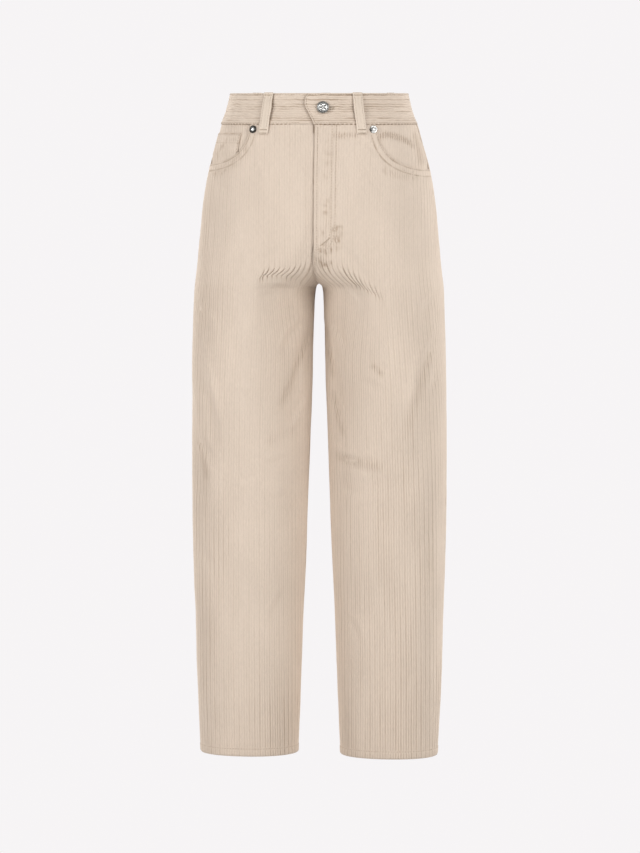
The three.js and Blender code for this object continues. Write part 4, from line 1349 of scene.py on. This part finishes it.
def band_ribs(turn, height):
    """How deep the waistband's grooves are, and painted shade: in its grooves, a painted shadow along its
    lapped end, and painted shadows beside the two front belt loops.
    """
    depth, down = np.zeros_like(height), np.zeros_like(height)
    wander = 0.55 * band_swell[1](turn, height * 0.3)
    for i, (where, strength) in enumerate(BAND_GROOVES):
        near = groove_at(height + wander - where, BAND_GROOVE_WIDTH)
        uneven = 1 + 0.6 * band_broad(turn + 3.1 * i, height * 0 + 7 * i)
        uneven = uneven + 0.4 * band_fine(turn + 5.3 * i, height * 0 + 5 * i)
        uneven = np.maximum(uneven, 0.1) * (1 + 0.35 * ease(turn, 3.3, 3.6))
        depth = np.maximum(depth, near * strength * uneven * BAND_GROOVE)
        down = np.maximum(down, near * strength * uneven * BAND_SHADE)
    # a painted shadow along the lapped end
    from_end = -turn * BAND_QUARTER - np.interp(height, *BAND_END.T)
    down = np.maximum(down, mix(1.0, 0.45, ease(height, 0, 14)) * np.exp(-(from_end / 1.3) ** 2))
    # painted shadows beside the two front belt loops
    for place, way in ((FRONT_LOOP, -1), (4 - FRONT_LOOP, 1)):
        from_loop = ((turn - place) * BAND_QUARTER * way - LOOP_WIDTH / 2 + 0.4) / 1.1
        down = np.maximum(down, 0.85 * np.exp(-from_loop ** 2) * (1 + 0.4 * band_fine(height / 60, height)))
    return depth, np.clip(down, 0, 1)


def waistband():
    bottom, top = BAND_SEAM + GAP / 2, BAND_TOP
    grooves = [where for where, _ in BAND_GROOVES]
    outer_heights = [bottom + 0.9, 21.6]
    outer_heights += [where + beside for where in grooves for beside in (-0.6, 0, 0.6)]
    outer_heights += [(a + b) / 2 for a, b in zip(grooves, grooves[1:])]
    # round the section, as height and inset: up the outside, over the top fold, down the inside and under
    ring = [(height, 0.0) for height in sorted(outer_heights)]
    outside = np.arange(len(ring))
    ring += [(top - 0.35, 0.35), (top - 0.02, 1.0), (top, 1.6), (top - 0.3, 2.5)]
    ring += [(height, BAND_WALL) for height in np.linspace(top - 1.2, bottom + 1, 8)]
    ring += [(bottom + 0.2, 2.5), (bottom, 1.5), (bottom + 0.15, 0.5)]
    height, inset = np.array(ring).T
    outside = np.arange(len(ring)) < len(outside)
    start = -BAND_LAP_HIDDEN / BAND_QUARTER
    steps = int(round((4 - start) * BAND_QUARTER / BAND_STEP))
    ends = np.array([0, END_TURNED / 3, END_TURNED])
    turn = np.concatenate([start + ends, np.linspace(start + 2 * END_TURNED, 4 - 2 * END_TURNED, steps),
                           4 - ends[::-1]])
    end_x = np.interp(height, *BAND_END.T)
    at = turn[:, None] - ease(turn, LIFT_END, 4)[:, None] * (end_x / BAND_QUARTER)[None, :]
    heights = np.broadcast_to(height, at.shape)
    ribs, down = band_ribs(at, heights)
    plain = np.minimum(ease(turn, start, start + 0.01), ease(4 - turn, 0, 0.008))[:, None]
    out = band_relief(at, heights) - inset - np.where(outside, ribs, 0) * plain
    # both ends are turned in and rounded
    from_end = np.minimum(turn - start, 4 - turn)
    closing = 1 - np.sqrt(np.clip(from_end / END_TURNED, 0, 1))
    middle = band_relief(at, heights) - BAND_WALL / 2
    points = on_ring(at, heights, mix(out, middle, 0.75 * closing[:, None]))
    shape = Shape()
    pattern = np.stack([heights, at * BAND_QUARTER, np.zeros_like(at)], axis=-1)
    index = shape.add_points(points, pattern, np.where(outside, down * plain, 0)).reshape(at.shape)
    shape.add_ring_grid(index)
    for row, flip in ((0, False), (-1, True)):
        shape.add_fan(index[row], shape.add_points(points[row].mean(axis=0))[0], flip)
    finish_cloth(shape, "waistband")


waistband()


# ------------------------------------------------------------------ belt loops

# how far a belt loop stands off, by height, from its top to its bottom
LOOP_PROFILE = ((23.6, 1.1), (17, 1.2), (9, 3.0), (-10, 3.0), (-20, 1.3), (-25, 1.1), (-31, 0.35), (-37, 0.3))
LOOPS = {
    "belt_loop_front_right": (-1, -1, FRONT_LOOP),
    "belt_loop_front_left": (1, -1, FRONT_LOOP),
    "belt_loop_back_right": (-1, 1, BACK_LOOP),
    "belt_loop_back_left": (1, 1, BACK_LOOP),
    "belt_loop_centre_back": (1, 1, 0.0),
}
LOOP_ACROSS = np.array([0.16, 0.36, 0.58, 0.74, 0.88, 0.96, 0.995, 1])  # shares of its half width


def on_plain(side, face, share, height, offset, out):
    """A place on the waist, at a distance along it from a share of a quarter."""
    panel = body.plain[side, face]
    height, offset, out = np.broadcast_arrays(height, offset, out)
    arc = share * panel.length_at(height) + offset
    mine = panel.place(np.maximum(arc, 0), height, out)
    other = body.plain[-side, face].place(np.maximum(-arc, 0), height, out)
    return np.where((arc >= 0)[..., None], mine, other)


loop_spots = {}


def belt_loop(name, side, face, share):
    """A loop of doubled cloth, with a fold down its middle and a row of stitches near each edge."""
    uneven = Noise(14, 14)
    across = np.concatenate([-LOOP_ACROSS[::-1], [0], LOOP_ACROSS])
    rows = smooth_path(LOOP_PROFILE, 0.9)
    height, stand = rows.T
    along = lengths_along(rows)
    from_end = np.minimum(along, along[-1] - along)
    width = LOOP_WIDTH / 2 - 0.5 * (1 - ease(from_end, 0, 1.2)) + 0.22 * uneven(height, height * 0)
    closing = np.sqrt(np.clip(from_end / 1.0, 0, 1)) * 0.8 + 0.2
    edge = np.sqrt(np.clip(1 - np.abs(across) ** 12, 0, 1))
    fold = 0.22 * np.exp(-(across / 0.2) ** 2) + 0.12 * np.exp(-((np.abs(across) - 0.66) / 0.1) ** 2)
    swell = 0.18 * uneven(across[None, :] * 9, height[:, None])
    thick = LOOP_WALL / 2 * edge[None, :] * closing[:, None]
    middle = stand[:, None] + LOOP_WALL / 2
    outer = middle + thick - fold[None, :] * edge[None, :] + swell * edge[None, :] + 0.25
    inner = middle - thick * 0.95
    offset = across[None, :] * width[:, None]
    heights = np.broadcast_to(height[:, None], outer.shape)
    shape = Shape()
    pattern = np.stack([offset, heights, np.zeros_like(outer)], axis=-1)
    # painted shade along the fold down its middle and the two dents beside it
    painted_shade_and_patina = np.broadcast_to(fold[None, :], outer.shape).clip(0, 1)
    index = []
    for out, dark in ((outer, painted_shade_and_patina), (inner, painted_shade_and_patina * 0)):
        points = on_plain(side, face, share, heights, offset, out)
        index.append(shape.add_points(points, pattern, dark).reshape(out.shape))
    shape.add_grid(index[0])
    shape.add_grid(index[1], flip=True)
    for line, flip in ((0, False), (-1, True)):
        shape.add_strip(index[0][:, line], along, index[1][:, line], along, flip=flip)
    for line, flip in ((0, True), (-1, False)):
        shape.add_strip(index[0][line], across, index[1][line], across, flip=flip)
    finish_cloth(shape, name, LOOP_CLOTH)

    def spots(offsets, heights_at):
        """Points on the loop, and the directions that face out of it there."""
        offsets, heights_at = np.asarray(offsets, float), np.asarray(heights_at, float)
        stands = np.interp(-heights_at, -height, stand) + LOOP_WALL + 0.3
        here = on_plain(side, face, share, heights_at, offsets, stands)
        return here, on_plain(side, face, share, heights_at, offsets, stands + 1) - here

    return spots


loop_spots = [belt_loop(loop, *where) for loop, where in LOOPS.items()]


# ------------------------------------------------------------------ stitches

STITCH_RINGS = ((0.12, 0.72, 0.1), (0.5, 1.0, 0.32), (0.88, 0.72, 0.1))  # share along, thickness and rise
STITCH_SIDES = 5


def add_stitches(shape, starts, ends, outs, radius):
    """One small lump of thread for each pair of points, dipping into the cloth at both ends."""
    along = ends - starts
    outs = outs / np.linalg.norm(outs, axis=1, keepdims=True)
    beside = np.cross(along, outs)
    beside /= np.linalg.norm(beside, axis=1, keepdims=True)
    angles = np.arange(STITCH_SIDES) * 2 * math.pi / STITCH_SIDES
    cos, sin = np.cos(angles)[None, :, None], np.sin(angles)[None, :, None]
    tips = [shape.add_points(starts - 0.25 * outs), shape.add_points(ends - 0.25 * outs)]
    rings = []
    for share, thick, rise in STITCH_RINGS:
        centre = starts + along * share + outs * rise * radius
        around = cos * beside[:, None] + sin * outs[:, None]
        points = centre[:, None] + around * radius * thick
        rings.append(shape.add_points(points).reshape(len(starts), STITCH_SIDES))
    for a, b in zip(rings, rings[1:]):
        a2, b2 = np.roll(a, -1, axis=1), np.roll(b, -1, axis=1)
        shape.add_triangles(np.stack([a, a2, b2], -1))
        shape.add_triangles(np.stack([a, b2, b], -1))
    for tip, ring, flip in ((tips[0], rings[0], False), (tips[1], rings[-1], True)):
        after = np.roll(ring, -1, axis=1)
        shape.add_triangles(np.stack([np.broadcast_to(tip[:, None], ring.shape), after, ring], -1), flip)


def run_of_stitches(shape, points, outs, length=3.1, gap=1.0, radius=0.45):
    """Stitches one after another along a run of points."""
    along = lengths_along(points)
    count = max(1, int((along[-1] + gap) // (length + gap)))
    pitch = (along[-1] + gap) / count
    starts = np.arange(count) * pitch
    ends = starts + pitch - gap

    def at(distance, values):
        return np.stack([np.interp(distance, along, values[:, k]) for k in range(3)], axis=1)
    add_stitches(shape, at(starts, points), at(ends, points), at((starts + ends) / 2, outs), radius)


def bar_tack(shape, spots, across, middle, wide=0.75, pitch=0.42, radius=0.3):
    """A bar of close stitches between two places, each stitch lying across the bar."""
    first, last = np.asarray(across, float)
    run = last - first
    size = np.linalg.norm(run)
    turn = np.array([-run[1], run[0]]) / size * wide
    count = int(size / pitch)
    centres = first + run * (np.arange(count)[:, None] + 0.5) / count
    low, out = spots(*(centres - turn + run / size * pitch * 0.5).T)
    high, _ = spots(*(centres + turn).T)
    add_stitches(shape, low + out * middle, high + out * middle, out, radius)


threads = {}
for group, cloth, path in stitches:
    fine = smooth_path(path, 1.5)
    points, outs = cloth.spots(fine, 0.02)
    run_of_stitches(threads.setdefault(group, Shape()), points, outs)
places = [(lapped.panel.grain_of_x(x, z)[0], z) for x, z in FLY_TACK]
bar_tack(threads["stitches_fly"], lambda grain, z: lapped.spots(np.stack([grain, z], axis=1)), places, 0.1)

LOOP_TACKS = (-30.4, -35.4, 19.6)  # their heights
LOOP_TACK, LOOP_ROW = 5.9, 4.6  # from a loop's middle: the reach of its tacks, and its two rows of stitches
loop_threads = threads.setdefault("stitches_loops", Shape())
for spots in loop_spots:
    for height in LOOP_TACKS:
        bar_tack(loop_threads, spots, ((-LOOP_TACK, height), (LOOP_TACK, height)), 0.0, wide=0.7)
    for offset in (-LOOP_ROW, LOOP_ROW):
        heights = np.arange(17, -28, -1.5)
        points, outs = spots(np.full(len(heights), offset), heights)
        run_of_stitches(loop_threads, points, outs, length=2.6, gap=0.9, radius=0.24)

# round the waistband: near its two edges, and a row of dark thread in the seam under it, whose darkness is
# partly the thread's and partly a painted shadow of the seam
BAND_RUN_COLUMNS = ("group", "height", "start", "sunk", "length", "gap", "radius")
for row in named_rows(BAND_RUN_COLUMNS, (
        ("stitches_band", -20.6, 0.1, 0.1, 3.2, 0.9, 0.36),
        ("stitches_band", 20.7, 0.1, 0.1, 3.2, 0.9, 0.34),
        ("stitches_seam", -22.4, 0.16, 0.75, 4.6, 1.7, 0.72))):
    end = 4 - (np.interp(row["height"], *BAND_END.T) + 1.4) / BAND_QUARTER
    turn = np.arange(row["start"], end, 0.008)
    heights = np.full(len(turn), row["height"])
    points, outs = ring_spots(turn, heights, band_relief(turn, heights) - row["sunk"])
    shape = threads.setdefault(row["group"], Shape())
    run_of_stitches(shape, points, outs, row["length"], row["gap"], row["radius"])

# down the slanted end of the waistband, and the buttonhole in it
band_threads = threads["stitches_band"]


def band_spots(x, height, lift=0.0):
    turn, height = 4 - np.asarray(x, float) / BAND_QUARTER, np.asarray(height, float)
    return ring_spots(turn, height, band_relief(turn, height) + lift)


heights = np.arange(19.5, -20, -1.5)
points, outs = band_spots(np.interp(heights, *BAND_END.T) + 2.6, heights)
run_of_stitches(band_threads, points, outs, 3.0, 0.8, 0.34)
HOLE_LOW, HOLE_HIGH, HOLE_AT = 14.0, 30.5, 0.6
HOLE_PITCH = 0.52
for lean in (-1, 1):
    xs = np.arange(HOLE_LOW, HOLE_HIGH, HOLE_PITCH)
    inner, outs = band_spots(xs, np.full(len(xs), HOLE_AT + 0.35 * lean), -0.25)
    outer, _ = band_spots(xs, np.full(len(xs), HOLE_AT + 2.0 * lean), -0.05)
    add_stitches(band_threads, inner, outer, outs, 0.3)
hole_end = [(HOLE_HIGH + 0.4, HOLE_AT + reach) for reach in (-2.2, 2.2)]
bar_tack(band_threads, band_spots, hole_end, 0.1, wide=0.9)

for name, shape in threads.items():
    piece = shape.build(name, DARK_THREAD if name == "stitches_seam" else THREAD)


# ------------------------------------------------------------------ button and rivets


def turned_piece(name, profile, round_steps, foot, axis, stamp=None):
    """A turned metal piece; a stamp raises a pattern on its face and darkens or lightens it, on one rivet as
    a painted reflection.
    """
    axis = np.asarray(axis, float) / np.linalg.norm(axis)
    right = np.cross((0, 0, 1), axis)
    right /= np.linalg.norm(right)
    up = np.cross(axis, right)
    profile = np.asarray(profile, float)
    angle = np.arange(round_steps) * 2 * math.pi / round_steps
    radius, rise, patina_and_painted_light = (np.repeat(profile[:, k:k + 1], round_steps, axis=1) for k in range(3))
    if stamp:
        more, dark = stamp(radius, angle[None, :])
        rise, patina_and_painted_light = rise + more, np.clip(patina_and_painted_light + dark, 0, 1)
    x, y = radius * np.cos(angle), radius * np.sin(angle)
    points = foot + x[..., None] * right + y[..., None] * up + rise[..., None] * axis
    shape = Shape()
    index = shape.add_points(points, None, patina_and_painted_light).reshape(radius.shape)
    shape.add_ring_grid(index)
    for row, flip in ((0, False), (-1, True)):
        centre = shape.add_points(points[row].mean(axis=0), None, [patina_and_painted_light[row].mean()])[0]
        shape.add_fan(index[row], centre, flip)
    piece = shape.build(name, METAL)
    return piece


def stand_at(x, height, out):
    """Foot and axis of something that stands on the front at an X."""
    panel = body.plain[1 if x > 0 else -1, -1]

    def place(x, height, out):
        grain = panel.grain_of_x(x, height)
        return panel.on_cloth(grain, np.array([height]), out)[0]
    here = place(x, height, out)
    across, up = place(x * 1.02, height, out) - here, place(x, height + 1, out) - here
    axis = np.cross(across, up)
    return here, axis if axis[1] < 0 else -axis


def flower(radius, angle):
    """A generic pressed rosette inside a beaded ring."""
    petals = np.cos(5 * angle) * np.exp(-((radius - 3.4) / 1.3) ** 2)
    beads = np.cos(36 * angle) * np.exp(-((radius - 6.35) / 0.45) ** 2)
    on_face = radius < 6.9
    rise = np.where(on_face, 0.35 * petals + 0.1 * beads, 0)
    dark = np.where(on_face, 1.3 * np.clip(-petals, 0, 1) + 0.35 * np.clip(-beads, 0, 1), 0)
    return rise, dark


def painted_reflection_ring(radius, angle):
    """A painted reflection: the ring is painted bright but for one side, where its dark finish stays, and a
    little darker in the middle.
    """
    left = np.exp(-((angle - math.pi - 0.1) / 0.75) ** 4)
    return 0 * radius * angle, np.where(radius > 2.8, -0.62 * (1 - left), 0.25)


# Profiles of the turned pieces, from the foot to the middle of the face: radius, rise and how dark it is.
BUTTON_PROFILE = (
    (0.4, 0, 1), (4.2, 0, 1), (4.2, 1.2, 1), (7.4, 1.3, 1), (8.2, 1.5, 1), (8.62, 1.9, 0.95),
    (8.7, 2.4, 0.85), (8.62, 2.9, 0.8), (8.3, 3.35, 0.7), (7.9, 3.55, 0.6), (7.5, 3.5, 0.85),
    (7.15, 3.2, 1.0), (6.9, 3.1, 1.0), (6.6, 3.15, 0.8), (6.3, 3.35, 0.2), (5.95, 3.35, 0.1),
    (5.6, 3.1, 0.7), (5.2, 3.0, 0.6), (4.8, 3.1, 0.2), (4.2, 3.2, 0.08), (3.6, 3.3, 0.05),
    (2.9, 3.35, 0.1), (2.3, 3.2, 0.5), (1.9, 3.0, 1.0), (1.5, 3.05, 0.9), (1.1, 3.4, 0.3), (0.5, 3.55, 0.1))
# the rivet's outer ring is painted dark: dark finish and painted shade together
RIVET_PROFILE = (
    (0.3, 0, 1), (5.7, 0, 1), (5.8, 0.3, 1), (5.7, 0.8, 1), (5.2, 1.15, 1), (4.6, 1.25, 1), (4.0, 1.1, 1.0),
    (3.6, 0.9, 1.0), (3.2, 0.9, 1.0), (2.9, 1.15, 0.7), (2.6, 1.5, 0.15), (1.9, 1.85, 0.02),
    (1.0, 2.05, 0.0), (0.3, 2.1, 0.0))
BUTTON_AT, BUTTON_STEPS = (15.7, 1.9), 144
RIVET_AT, RIVET_STEPS = (88.0, -30.0), 64

foot, axis = stand_at(*BUTTON_AT, BAND_PROUD + BAND_HALF_STEP + GAP)
button = turned_piece("button_face", BUTTON_PROFILE, BUTTON_STEPS, foot, axis, flower)
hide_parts("button")
for side, name in SIDE_NAMES.items():
    foot, axis = stand_at(side * RIVET_AT[0], RIVET_AT[1], GAP + 0.05)
    # the wearer's left rivet gets a painted reflection
    stamp = painted_reflection_ring if side > 0 else None
    rivet = turned_piece(f"rivet_{name}_head", RIVET_PROFILE, RIVET_STEPS, foot, axis, stamp)
    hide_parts(f"rivet_{name}")


# ------------------------------------------------------------------ studio and camera


def floor_material(colour):
    """Plain pale floor: it looks as bright as the wall behind, and gives back less light."""
    g = Graph("floor_paint")
    paint = g.node("ShaderNodeBsdfDiffuse", {"Color": (0.7, 0.7, 0.7, 1)}).outputs[0]
    lit = g.node("ShaderNodeEmission", {"Color": colour}).outputs[0]
    either = g.node("ShaderNodeMixShader", {1: paint, 2: lit})
    g.put(either.inputs[0], g.node("ShaderNodeLightPath").outputs["Is Camera Ray"])
    g.put(g.tree.nodes["Material Output"].inputs["Surface"], either.outputs[0])
    g.tree.nodes.remove(g.shader)
    return g.material


BACKDROP = (0.925, 0.906, 0.914, 1)
FLOOR_LEVEL = (HEM - 9) * MM
FLOOR_REACH = 30
floor_mesh = bpy.data.meshes.new("floor")
turn = np.arange(96) * 2 * math.pi / 96
ring = [(FLOOR_REACH * math.cos(a), FLOOR_REACH * math.sin(a), FLOOR_LEVEL) for a in turn]
floor_mesh.from_pydata(ring, [], [list(range(len(ring)))])
floor_mesh.materials.append(floor_material(BACKDROP))
floor = bpy.data.objects.new("floor", floor_mesh)
bpy.context.collection.objects.link(floor)

world = bpy.data.worlds.new("studio")
world.use_nodes = True
tree = world.node_tree
tree.nodes.clear()
seen, fill = tree.nodes.new("ShaderNodeBackground"), tree.nodes.new("ShaderNodeBackground")
seen.inputs["Color"].default_value = BACKDROP
fill.inputs["Color"].default_value = (1.0, 0.99, 0.98, 1)
fill.inputs["Strength"].default_value = 0.42
path, either, out = (tree.nodes.new(k) for k in (
    "ShaderNodeLightPath", "ShaderNodeMixShader", "ShaderNodeOutputWorld"))
tree.links.new(path.outputs["Is Camera Ray"], either.inputs[0])
tree.links.new(fill.outputs[0], either.inputs[1])
tree.links.new(seen.outputs[0], either.inputs[2])
tree.links.new(either.outputs[0], out.inputs[0])
bpy.context.scene.world = world


def area_light(name, place, aim, size, power):
    light = bpy.data.lights.new(name, "AREA")
    light.shape, light.size, light.energy = "DISK", size, power
    lamp = bpy.data.objects.new(name, light)
    lamp.location = place
    lamp.rotation_euler = (Vector(aim) - Vector(place)).to_track_quat("-Z", "Y").to_euler()
    bpy.context.collection.objects.link(lamp)


MIDDLE = (0, 0, -0.45)
for face, face_name in FACE_NAMES.items():
    for side, side_name in SIDE_NAMES.items():
        area_light(f"{face_name}_{side_name}", (3.1 * side, 2.9 * face, 1.0), MIDDLE, size=2.4, power=108)

scene = bpy.context.scene
scene.view_settings.view_transform = "Standard"

CAMERA_TURN = math.radians(6.5)
CAMERA_DISTANCE = 5.5
camera_data = bpy.data.cameras.new("camera")
camera_data.sensor_fit = "VERTICAL"
camera_data.sensor_height = 36
camera_data.sensor_width = 36
camera_data.lens = 157
camera_data.clip_end = 100
camera = bpy.data.objects.new("camera", camera_data)
aim = Vector((0.0013, 0, -0.470))
camera.location = Vector((
    aim.x + CAMERA_DISTANCE * math.sin(CAMERA_TURN), -CAMERA_DISTANCE * math.cos(CAMERA_TURN), 0.0))
camera.rotation_euler = (aim - camera.location).to_track_quat("-Z", "Y").to_euler()
bpy.context.collection.objects.link(camera)
scene.camera = camera
